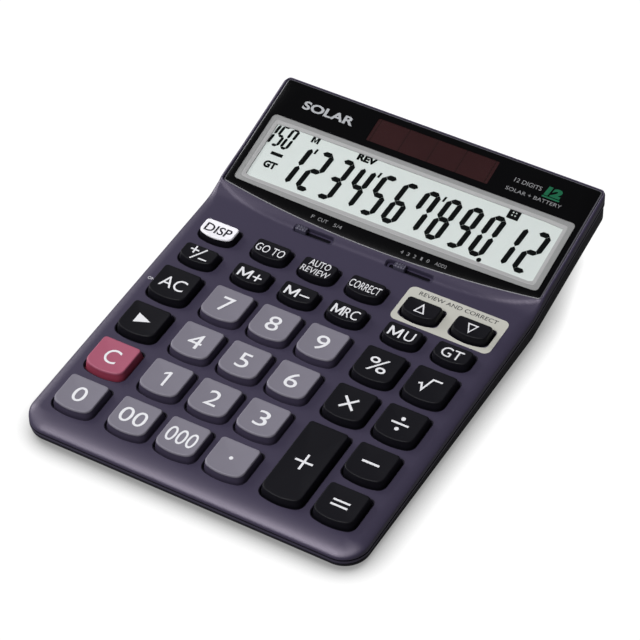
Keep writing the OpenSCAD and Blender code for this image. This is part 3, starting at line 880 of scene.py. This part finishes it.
# text, width and height of each lettered key
legendTexts = {
    "disp": ("DISP", 11.2, 4.3), "go_to": ("GO TO", 12.2, 3.9), "correct": ("CORRECT", 12.9, 3.8),
    "gt": ("GT", 8.4, 4.7), "ac": ("AC", 10.4, 5.7), "percent": ("%", 8.2, 7.0),
    "c": ("C", 5.7, 7.0), "0": ("0", 5.2, 7.1), "00": ("00", 10.8, 7.1), "000": ("000", 12.3, 7.1),
    "2": ("2", 5.1, 7.3), "3": ("3", 5.1, 7.3), "4": ("4", 5.8, 7.3), "5": ("5", 4.9, 7.3),
    "6": ("6", 5.2, 7.3), "7": ("7", 5.1, 7.3), "8": ("8", 5.2, 7.3), "9": ("9", 5.2, 7.3),
}
legends = {label: lettering(*words, bold=0.012 if label == "disp" else 0) for label, words in legendTexts.items()}
legends["auto_review"] = together(lettering("AUTO", 8.8, 3.1, 0, 2.2), lettering("REVIEW", 11.8, 3.1, 0, -1.8))
legends["1"] = extruded([figureOne(-0.2, 0, 2.8, 7.3, 1.05)])
legends["m_plus"] = extruded([letterM(-2.3, 0, 5.4, 4.5), cross(3.1, -0.3, 3.9, 3.9, 0.65)])
legends["m_minus"] = extruded([letterM(-2.5, 0, 5.4, 4.5), bar(3.0, -0.3, 4.2, 0.65)])
legends["mrc"] = together(extruded([letterM(-3.3, 0, 4.4, 4.7, 0.17)]), lettering("RC", 6.2, 4.7, 2.4))
legends["mu"] = together(extruded([letterM(-2.6, 0, 5.2, 4.7)]), lettering("U", 3.9, 4.7, 3.2))
legends["plus"] = extruded([cross(0, 0, 7.2, 7.6, 0.9)])
legends["minus"] = extruded([bar(0, 0, 7, 0.95)])
legends["equals"] = extruded([bar(0, 1.1, 6.8, 0.85), bar(0, -1.1, 6.8, 0.85)])
legends["multiply"] = extruded([cross(0, 0, 7.8, 7.8, 0.95, 45)])
legends["divide"] = extruded([bar(0, 0, 7, 0.85)] + [discOutline(0, y, 0.85, 20)[0] for y in (2.6, -2.6)])
legends["point"] = extruded([discOutline(0, 0, 0.78, 24)[0]])
legends["shift"] = extruded([np.array([[-3, -2.5], [3.2, 0], [-3, 2.5]])])
legends["sign"] = together(extruded([cross(-2.4, 1.6, 3.6, 3.6, 0.65), bar(2.8, -1.9, 3.6, 0.65)]),
                           stroke([(-1.9, -3.3), (2.2, 3.3)], 0.65))
legends["root"] = stroke([(-3.9, -0.6), (-2.8, 0.0), (-1.5, -3.0), (0.3, 3.1), (4.1, 3.1)], 0.75)
legends["review_up"] = stroke([(-1.9, -1.9), (1.9, -1.9), (0, 2.2)], 0.5, closed=True)
legends["review_down"] = stroke([(-1.9, 1.9), (0, -2.2), (1.9, 1.9)], 0.5, closed=True)
for label, shape in legends.items():
    onWhite = label == "disp"
    legendOnKey("key_" + label, shape, finishes["darkPrint" if onWhite else "whitePrint"])
print("legends built", len(legends))


# Lens and display

def plateWithWindows(name, outer, windows, top, thickness, edge, materials, plane, body):
    # a flat plate with a bevelled edge in its own finish and openings that go right through
    points, normals = outer
    rows = [(points - normals * edge, top), (points - normals * edge * 0.3, top - edge * 0.3), (points, top - edge),
            (points, top - thickness)]
    allPoints = [np.column_stack([p, np.full(len(p), z)]) for p, z in rows]
    faces = bandFaces(len(rows), len(points), flip=True)
    start = len(points) * len(rows)
    flat, cells = triangulate(rows[0][0], [w for w, _ in windows], np.empty((0, 2)))
    allPoints.append(np.column_stack([flat, np.full(len(flat), top)]))
    faces += [[start + i for i in f] for f in cells]
    start += len(flat)
    flat, cells = triangulate(points, [w for w, _ in windows], np.empty((0, 2)))
    allPoints.append(np.column_stack([flat, np.full(len(flat), top - thickness)]))
    faces += [[start + i for i in f[::-1]] for f in cells]
    start += len(flat)
    for w, _ in windows:
        n = len(w)
        allPoints.append(np.vstack([np.column_stack([w, np.full(n, h)]) for h in (top, top - thickness)]))
        faces += [[start + i for i in f] for f in bandFaces(2, n)]
        start += 2 * n
    joined, faces = joinRows(place(np.vstack(allPoints), plane), faces)
    parts = np.zeros(len(faces), int)
    parts[:2 * len(points)] = len(materials) - 1
    return makePiece(name, joined, faces, materials, body, parts)


frameOpening = frameOutline()
solarOpening = roundedRectangle(solarShape["width"], solarShape["depth"], 0.6, 0, solarShape["middle"])
# the lens's bevel takes the light grey edge finish, a painted highlight
lensPanel = plateWithWindows("lensPanel", lensOutline(0), [frameOpening, solarOpening], -lensShape["sink"],
                             lensShape["thickness"], lensShape["bevel"],
                             [finishes["panelBlack"], finishes["lensRim"]], headPlane, "case")
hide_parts("display_lens")

# the clear panes that fill the two openings, flush with the panel
for name, opening in (("clearPaneMain", frameOpening), ("clearPaneSolar", solarOpening)):
    lathed(name, opening, [(-0.02, -0.32), (-0.02, -0.12)], [finishes["clearPane"]], headPlane, "case")


def buildTrim():
    # silver frame: a flat outer band, a fine step and a paler sloping inner band, between two closed outlines
    outer = frameOpening[0] * [0.9995, 1]
    n = len(outer)
    # the inner outline takes its points at the same angles as the outer one
    middle = np.array([0, frameShape["middle"]])
    hw, hd, r = frameShape["windowWidth"] / 2, frameShape["windowDepth"] / 2, 1.0
    outerHalf = [frameShape["outerWidth"] / 2, (frameShape["outerHigh"] - frameShape["outerLow"]) / 2 + 1]
    ray = (outer - middle) / outerHalf
    box = np.clip(ray / np.abs(ray).max(1)[:, None] * [hw, hd], [-hw, -hd], [hw, hd])
    inward = np.clip(box, [-hw + r, -hd + r], [hw - r, hd - r])
    away = box - inward
    length = np.linalg.norm(away, axis=1)[:, None]
    innerEdge = np.where(length > r, inward + away / np.maximum(length, 1e-9) * r, box) + middle
    steps = ((0.0, -1.2), (0.0, -0.5), (0.03, -0.42), (0.5, -0.4), (0.54, -0.46), (0.58, -0.46), (0.62, -0.4),
             (0.97, -0.55), (1.0, -0.62), (1.0, -1.2))
    rows = [np.column_stack([outer * (1 - t) + innerEdge * t, np.full(n, z)]) for t, z in steps]
    faces = bandFaces(len(rows), n)
    last = (len(rows) - 1) * n
    faces += [[last + k, last + (k + 1) % n, (k + 1) % n, k] for k in range(n)]
    parts = np.append(np.repeat(np.arange(len(rows) - 1) >= 5, n), np.zeros(n)).astype(int)
    piece = makePiece("silverFrame", place(np.vstack(rows), headPlane), faces,
                      [finishes["trimSilver"], finishes["trimLight"]], "case", parts, smooth=12,
                      turnOut=True)
    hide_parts("display_trim")
    return piece


buildTrim()
displayBack = lathed("displayBack", roundedRectangle(127, 28.6, 1, 0, frameShape["middle"]), [(0, -1.6), (0, -1.0)],
                     [finishes["reflector"]], headPlane, "case")
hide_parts("lcd_reflector", "lcd_glass")

# twelve large digits, three small ones and the small signs round them
digitShape = dict(
    height=20.2, width=6.8, stroke=2.25, gap=0.05, slant=0.105, pitch=9.45, firstX=-47.5, middle=25.0,
)
smallDigitShape = dict(
    height=10.6, width=3.6, stroke=1.2, gap=0.05, slant=0.105, pitch=4.15, firstX=-63.0, middle=34.5,
)
segmentMap = {
    "0": "abcdef", "1": "bc", "2": "abged", "3": "abgcd", "4": "fgbc", "5": "afgcd", "6": "afgedc", "7": "abcf",
    "8": "abcdefg", "9": "abcfgd",
}


def segment(kind, w, h, t, gap):
    # one of the seven bars, a hexagon cut at 45 degrees where bars meet
    flatY = {"a": h / 2, "g": 0, "d": -h / 2}
    if kind in flatY:
        x, y, q = w / 2 - gap, flatY[kind], t / 2
        return np.array([[-x, y], [-x + q, y - q], [x - q, y - q], [x, y], [x - q, y + q], [-x + q, y + q]])
    x, low = (w / 2 if kind in "bc" else -w / 2), (0 if kind in "bf" else -h / 2)
    y1, y2, q = low + gap, low + h / 2 - gap, t / 2
    return np.array([[x, y1], [x + q, y1 + q], [x + q, y2 - q], [x, y2], [x - q, y2 - q], [x - q, y1 + q]])


def sevenSegment(text, shape):
    # bars of every digit, sheared to lean right
    w, h, t = shape["width"], shape["height"], shape["stroke"]
    bars = []
    for k, digit in enumerate(text):
        for kind in segmentMap[digit]:
            o = segment(kind, w - t, h - t, t, shape["gap"])
            bars.append(np.column_stack([o[:, 0] + o[:, 1] * shape["slant"] + shape["firstX"] + k * shape["pitch"],
                                         o[:, 1] + shape["middle"]]))
    return bars


def printOn(name, shapes, finish, height):
    # flat print on the display plane
    points, faces = together(*shapes)
    return makePiece(name, place(points + [0, 0, height], headPlane), faces, [finish], "case", smooth=0,
                     turnOut=True)


ticks = [np.array([[0, 0], [0.95, 0], [1.3, 2.5], [0.35, 2.5]]) + [x, 32.2] for x in (-42.9, -14.4, 14.1)]
printOn("displayDigits", [
    extruded(sevenSegment("123456789012", digitShape) + sevenSegment("150", smallDigitShape) + ticks
             + [discOutline(39.6, 14.2, 1.0, 20)[0], bar(-56.0, 26.2, 5.2, 1.5)]
             + [letterM(-45.0, 38.2, 3.3, 3.1, 0.27)]),
    lettering("GT", 5.6, 3.4, -56.0, 20.9, bold=0.06), lettering("REV", 8.4, 3.3, -21.8, 38.1, bold=0.06),
    stroke([(40.8, 36.2), (44.2, 36.2), (44.2, 39.6), (40.8, 39.6)], 1.5, closed=True),
    extruded([cross(42.5, 37.9, 2.2, 2.2, 0.75)]),
], finishes["ink"], -0.97)
panelPrintHeight = -lensShape["sink"] + 0.03
printOn("panelWord", [lettering("SOLAR", 22.8, 4.0, -46.2, 50.9, bold=0.03)], finishes["brightPrint"],
        panelPrintHeight)
printOn("panelNotes", [
    lettering("12 DIGITS", 11.6, 1.9, 41.4, 51.8), lettering("SOLAR + BATTERY", 23.6, 1.6, 45.9, 47.2),
    lettering("F", 1.2, 1.5, -28.0, 5.9), lettering("CUT", 4.2, 1.5, -23.6, 5.8),
    lettering("5/4", 3.6, 1.5, -16.9, 5.7), lettering("4", 1.1, 1.5, 11.5, 5.3),
    lettering("3", 1.1, 1.5, 14.2, 5.3), lettering("2", 1.1, 1.5, 17.0, 5.4), lettering("1", 0.7, 1.5, 19.8, 5.5),
    lettering("0", 1.1, 1.5, 22.6, 5.6), lettering("ADD2", 4.8, 1.5, 28.0, 5.8),
], finishes["dimPrint"], panelPrintHeight)
printOn("greenTwelve", [lettering("12", 6.6, 4.2, 52.4, 52.0, bold=0.07, slant=0.15),
                        extruded([bar(52.2, 49.2, 7.4, 0.7)])],
        finishes["greenPrint"], panelPrintHeight)
solarPanel = lathed("solarPanel", solarOpening, [(-0.03, -1.3), (-0.03, -0.4)], [finishes["solarFilm"]],
                    headPlane, "case")
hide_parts("solar_cell")
print("display built")


# Prints on the key plane

surroundShape = dict(low=(22.9, 11.3), high=(64.8, 29.7), corner=2.6, clearance=0.9, thickness=0.06)


def flatOnKeys(name, points, faces, finish, slot, height):
    return makePiece(name, place(points + [0, 0, height], keyPlane), faces, [finish], "case", smooth=0,
                     turnOut=True)


def buildSurround():
    # pale printed frame round the two review keys, with an opening for each
    (x1, y1), (x2, y2) = surroundShape["low"], surroundShape["high"]
    outer = roundedRectangle(x2 - x1, y2 - y1, surroundShape["corner"], (x1 + x2) / 2, (y1 + y2) / 2,
                             corner=8, side=20)[0]
    holes = []
    for name in ("key_review_up", "key_review_down"):
        w, d = keySize(name)
        grow = keyShape["flare"] + 2 * surroundShape["clearance"]
        x, y = keyCentre(name)
        holes.append(bowedOutline(w + grow, d + grow, keyShape["bow"], 1.6, 2.2)[0] + [x, y])
    flat, cells = triangulate(outer, holes, np.empty((0, 2)))
    # raised just above the key plane
    t = surroundShape["thickness"]
    sheets = [np.column_stack([flat, np.full(len(flat), z)]) for z in (0.01, t)]
    n = len(flat)
    faces = [f[::-1] for f in cells] + [[n + i for i in f] for f in cells]
    points, start = list(sheets), 2 * n
    for r in [outer] + holes:
        points += [np.column_stack([r, np.full(len(r), z)]) for z in (0.01, t)]
        faces += [[start + i for i in f] for f in bandFaces(2, len(r))]
        start += 2 * len(r)
    joined, faces = joinRows(place(np.vstack(points), keyPlane), faces)
    return makePiece("reviewSurround", joined, faces, [finishes["beigePrint"]], "case", smooth=0,
                     turnOut=True)


buildSurround()
flatOnKeys("reviewNote", *lettering("REVIEW AND CORRECT", 33.0, 1.9, 44.0, 27.4), finishes["darkPrint"],
           "dark_print", 0.09)
flatOnKeys("onNote", *lettering("ON", 2.8, 1.4, -65.8, -13.4), finishes["whitePrint"], "white_print", 0.05)


# Slide selectors: a ridged knob, its stem and a dark shutter under the slot

selectorShape = dict(width=4.8, depth=2.4, low=-0.88, rise=1.25, corner=0.5, ridgePitch=1.2, ridgeDepth=0.28)
shutterShape = dict(depth=4.4, high=-1.92, low=-2.2, roundingReach=12.9, decimalReach=15.9)


def buildSelector(kind):
    g = selectorShape
    x, y = switchShape[kind + "X"], switchShape["y"]
    reach = shutterShape[kind + "Reach"]
    outline = roundedRectangle(g["width"], g["depth"], g["corner"], x, y, corner=5, side=24)
    # top rings shrink inwards; the ridges are a cosine wave across the knob's top
    crest = g["rise"]
    steps = ((0, g["low"]), (0, 0.6), (-0.04, 0.95), (-0.16, 1.15), (-0.35, crest), (-0.6, crest), (-0.9, crest))
    rows = []
    for out, z in steps:
        p = outline[0] + outline[1] * out
        wave = 0.5 - 0.5 * np.cos(2 * math.pi * (p[:, 0] - x) / g["ridgePitch"])
        height = np.full(len(p), z) - (g["ridgeDepth"] * wave if z > 1.1 else 0)
        rows.append(np.column_stack([p, height]))
    n = len(rows[0])
    # the flat middle is a strip of quads between the two long sides, so that it follows the ridges
    faces = bandFaces(len(rows), n) + [list(range(n))[::-1]]
    top = (len(rows) - 1) * n
    half = n // 2
    faces += [[top + (k - 1) % n, top + k, top + (2 * half - 1 - k) % n, top + (2 * half - k) % n]
              for k in range(1, half)]
    knobFaces = len(faces)
    extras, start = [np.vstack(rows)], n * len(rows)
    for w, d, low, high in ((3.0, 1.2, shutterShape["high"] - 0.1, g["low"] + 0.1),
                            (2 * reach, shutterShape["depth"], shutterShape["low"], shutterShape["high"])):
        r = roundedRectangle(w, d, 0.3, x, y, corner=3, side=2)[0]
        extras += [np.column_stack([r, np.full(len(r), z)]) for z in (low, high)]
        m = len(r)
        faces += [[start + i for i in f] for f in bandFaces(2, m)]
        faces += [[start + i for i in range(m)][::-1], [start + m + i for i in range(m)]]
        start += 2 * m
    parts = np.array([0] * knobFaces + [1] * (len(faces) - knobFaces))
    piece = makePiece(kind + "Slider", place(np.vstack(extras), keyPlane), faces,
                      [finishes["selector"], finishes["keyBlack"]], kind + "_selector", parts,
                      smooth=35)
    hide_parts(kind + "_knob")
    return piece


for kind in ("rounding", "decimal"):
    buildSelector(kind)
print("selectors built")


# Lower case

baseShape = dict(
    inset=0.3, sideFront=3.2, sideFold=5.9, sideBack=22.0, baseZ=1.2, frontIn=11.0, backIn=4.5, wall=1.8, floor=1.6,
    footRadius=5.1, footDepth=0.5, sinkRadius=2.5, holeRadius=1.45, bossRadius=3.2, seatDrop=1.8,
)
footSpots = [(-56, -80), (56, -80), (-46, 82), (46, 82)]
screwSpots = [(-43.6, -67), (21.3, -67), (-43.6, -4.5), (21.3, -4.5), (-35, 85), (35, 85)]


def sideLine(y):
    # height of the bend in the side, straight from front to fold and from fold to back
    g = baseShape
    return np.interp(y, [-halfD, foldY, halfD], [g["sideFront"], g["sideFold"], g["sideBack"]])


def bend(a, b, c, r):
    # three rings that round the corner b between rings a and c: a short quadratic curve
    towards = [(v - b) / np.maximum(np.linalg.norm(v - b, axis=1), 1e-9)[:, None] for v in (a, c)]
    p, q = b + towards[0] * r, b + towards[1] * r
    return [p, 0.25 * p + 0.5 * b + 0.25 * q, q]


def postTop(y):
    # top of a screw boss, where it meets the upper case's post
    return 19.9 if y > foldY else keyHeight(y) - 7.3


def buildLowerCase():
    g = baseShape
    outline, normals = caseOutline()
    n = len(outline)
    outer = outline - normals * g["inset"]
    seam = seamHeight(outline) - caseShape["seamGap"]

    def ringAt(p, z):
        return np.column_stack([p, np.broadcast_to(z, n)])

    def baseRing(z):
        # the side line's ring, drawn in towards the base
        y = np.interp(outer[:, 1], [-halfD + g["inset"], halfD - g["inset"]],
                      [-halfD + g["frontIn"], halfD - g["backIn"]])
        share = (halfW - g["inset"] - (sideLine(y) - z)) / (halfW - g["inset"])
        return ringAt(np.column_stack([outer[:, 0] * share, y]), z)

    inner = outline - normals * (g["inset"] + g["wall"])
    topRing, sideRing, base = ringAt(outer, seam), ringAt(outer, sideLine(outer[:, 1])), baseRing(g["baseZ"])
    floorIn = baseRing(g["baseZ"]) * [0.985, 0.985, 0] + [0, 0, g["baseZ"] + g["floor"]]
    innerSide = ringAt(inner, sideLine(inner[:, 1]) + 1)
    rim = ringAt(inner, seam)
    rows = [rim, *bend(rim, topRing, sideRing, 0.25), *bend(topRing, sideRing, base, 0.9),
            *bend(sideRing, base, base * [0.9, 0.9, 1], 0.7)]
    allPoints, allFaces = [np.vstack(rows) * mm], bandFaces(len(rows), n, flip=True)
    start = n * len(rows)

    def add(points, faces):
        nonlocal start
        allPoints.append(points * mm)
        allFaces.extend([start + i for i in f] for f in faces)
        start += len(points)

    add(np.vstack([rim, innerSide, floorIn]), bandFaces(3, n))
    spots = [(x, y, g["footRadius"]) for x, y in footSpots] + [(x, y, g["sinkRadius"]) for x, y in screwSpots]
    for ringOuter, holes, z, flip in (
            (rows[-1][:, :2], [discOutline(*p)[0] for p in spots], g["baseZ"], True),
            (floorIn[:, :2], [discOutline(x, y, g["bossRadius"])[0] for x, y in screwSpots],
             g["baseZ"] + g["floor"], False)):
        flat, cells = triangulate(ringOuter, holes, np.empty((0, 2)))
        add(np.column_stack([flat, np.full(len(flat), z)]), [f[::-1] for f in cells] if flip else cells)
    for x, y in footSpots:
        socket, _ = discOutline(x, y, g["footRadius"])
        m = len(socket)
        heights = g["baseZ"], g["baseZ"] + g["footDepth"]
        add(np.vstack([np.column_stack([socket, np.full(m, z)]) for z in heights]),
            bandFaces(2, m, flip=True) + [list(range(m, 2 * m))[::-1]])
    for x, y in screwSpots:
        top = postTop(y)
        seat = top - g["seatDrop"]
        profile = ((g["sinkRadius"], g["baseZ"]), (g["sinkRadius"], seat), (g["holeRadius"], seat),
                   (g["holeRadius"], top), (g["bossRadius"], top), (g["bossRadius"], g["baseZ"] + g["floor"]))
        rings = [discOutline(x, y, r)[0] for r, _ in profile]
        add(np.vstack([np.column_stack([p, np.full(len(p), z)]) for p, (_, z) in zip(rings, profile)]),
            bandFaces(len(rings), len(rings[0]), flip=True))
    points, faces = joinRows(np.vstack(allPoints), allFaces)
    piece = makePiece("lowerCase", points, faces, [finishes["basePlastic"]], smooth=35)
    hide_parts("lower_case")
    return piece


buildLowerCase()

# rubber feet: discs with a rounded lower edge and a slight hollow
footProfile = ((5.0, 1.65), (5.0, 0.35), (4.9, 0.12), (4.65, 0.0), (3.4, 0.0), (3.0, 0.12), (1.0, 0.14))


def buildFeet():
    points, faces, start = [], [], 0
    for x, y in footSpots:
        rings = [np.column_stack([discOutline(x, y, r, 40)[0], np.full(40, z)]) for r, z in footProfile]
        points += rings
        m, k = 40, len(rings)
        faces += [[start + i for i in f] for f in bandFaces(k, m, flip=True)]
        faces += [[start + i for i in range(m)], [start + (k - 1) * m + i for i in range(m)][::-1]]
        start += k * m
    piece = makePiece("feetPads", np.vstack(points) * mm, faces, [finishes["rubber"]],
                      smooth=35)
    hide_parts("rubber_feet")


buildFeet()
print("base built")


# Inner parts keep their own meshes and take these finishes

innerFinishes = {
    "lcd_holder": "naturalPlastic", "display_ribbon": "ribbonFilm", "solar_leads": "leadSleeve",
    "main_board": "boardGreen", "rubber_keypad": "keypadRubber", "calculator_chip": "chipBlack",
    "board_parts": "partsBlue", "button_cell": "cellSteel", "cell_contact_positive": "contactMetal",
    "cell_contact_negative": "contactMetal", "rounding_wiper": "contactMetal", "decimal_wiper": "contactMetal",
    "case_screws": "screwSteel", "board_screws": "screwSteel",
}
for nodeName, finishName in innerFinishes.items():
    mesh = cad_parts[nodeName].data
    mesh.materials.clear()
    mesh.materials.append(finishes[finishName])
print("inner parts finished")


# Camera, floor and lights

view = dict(
    lens=169.2, sensor=36.0, position=(0.42327, -0.69038, 0.78595), roll=-1.359, aim=(0.00137, -0.00186, 0.015),
)


def buildCamera():
    data = bpy.data.cameras.new("camera")
    data.lens, data.sensor_width = view["lens"], view["sensor"]
    camera = bpy.data.objects.new("camera", data)
    bpy.context.collection.objects.link(camera)
    camera.location = view["position"]
    aim = Vector(view["aim"]) - camera.location
    camera.rotation_mode = "QUATERNION"
    turn = aim.to_track_quat("-Z", "Y").to_matrix()
    camera.rotation_quaternion = (turn @ Matrix.Rotation(math.radians(view["roll"]), 3, "Z")).to_quaternion()
    bpy.context.scene.camera = camera


buildCamera()


# the floor's half size, the grey it bounces, how far its contact shadow reaches and how it fades, and the sky
stage = dict(halfSize=3.0, bounce=0.2, shadowReach=0.012, openRange=(0.35, 0.9), glowRange=(0.3, 1.05), sky=0.15)
# position, size and power of each soft light
softLights = {
    "frontLeftLight": ((-0.75, -1.1, 1.9), 1.3, 26),
    "frontLight": ((-0.2, -0.85, 1.4), 1.0, 16),
    "leftLight": ((-1.5, 0.3, 0.8), 0.8, 14),
}


def paleSweep():
    # the camera sees a white table with a painted soft contact shadow; to the object the table is a dim grey
    g = stage
    sweep = plastic("paleFloor", (0.86, 0.86, 0.86), rough=0.8, tone=0.01, grain=0.0)
    tree = sweep.node_tree
    surface = tree.nodes["Principled BSDF"]
    seen = node(tree, "ShaderNodeLightPath").outputs["Is Camera Ray"]
    shade = node(tree, "ShaderNodeMix", data_type="RGBA")
    shade.inputs[6].default_value = (g["bounce"], g["bounce"], g["bounce"], 1)
    shade.inputs[7].default_value = (0, 0, 0, 1)
    tree.links.new(seen, shade.inputs[0])
    tree.links.new(shade.outputs[2], surface.inputs["Base Color"])
    surface.inputs["Specular IOR Level"].default_value = 0
    # painted contact shadow: the glow the camera sees is dimmed where ambient occlusion finds the case close by
    openness = node(tree, "ShaderNodeAmbientOcclusion", samples=24, Distance=g["shadowReach"])
    level = node(tree, "ShaderNodeMapRange")
    level.inputs["From Min"].default_value, level.inputs["From Max"].default_value = g["openRange"]
    level.inputs["To Min"].default_value, level.inputs["To Max"].default_value = g["glowRange"]
    tree.links.new(openness.outputs["AO"], level.inputs["Value"])
    glow = node(tree, "ShaderNodeMath", operation="MULTIPLY")
    tree.links.new(seen, glow.inputs[0])
    tree.links.new(level.outputs["Result"], glow.inputs[1])
    surface.inputs["Emission Color"].default_value = (1, 1, 1, 1)
    tree.links.new(glow.outputs[0], surface.inputs["Emission Strength"])
    return sweep


def buildStage():
    mesh = bpy.data.meshes.new("floor")
    r = stage["halfSize"]
    mesh.from_pydata([(-r, -r, 0), (r, -r, 0), (r, r, 0), (-r, r, 0)], [], [(0, 1, 2, 3)])
    floor = bpy.data.objects.new("floor", mesh)
    bpy.context.collection.objects.link(floor)
    mesh.materials.append(paleSweep())
    world = bpy.data.worlds.new("studio")
    bpy.context.scene.world = world
    world.use_nodes = True
    world.node_tree.nodes["Background"].inputs["Color"].default_value = (1, 1, 1, 1)
    world.node_tree.nodes["Background"].inputs["Strength"].default_value = stage["sky"]


def areaLight(name, position, size, watts, target=(0, 0, 0.01)):
    data = bpy.data.lights.new(name, "AREA")
    data.energy, data.size = watts, size
    lamp = bpy.data.objects.new(name, data)
    bpy.context.collection.objects.link(lamp)
    lamp.location = position
    lamp.rotation_mode = "QUATERNION"
    lamp.rotation_quaternion = (Vector(target) - lamp.location).to_track_quat("-Z", "Y")


buildStage()
for name, values in softLights.items():
    areaLight(name, *values)
bpy.context.scene.view_settings.view_transform = "Standard"
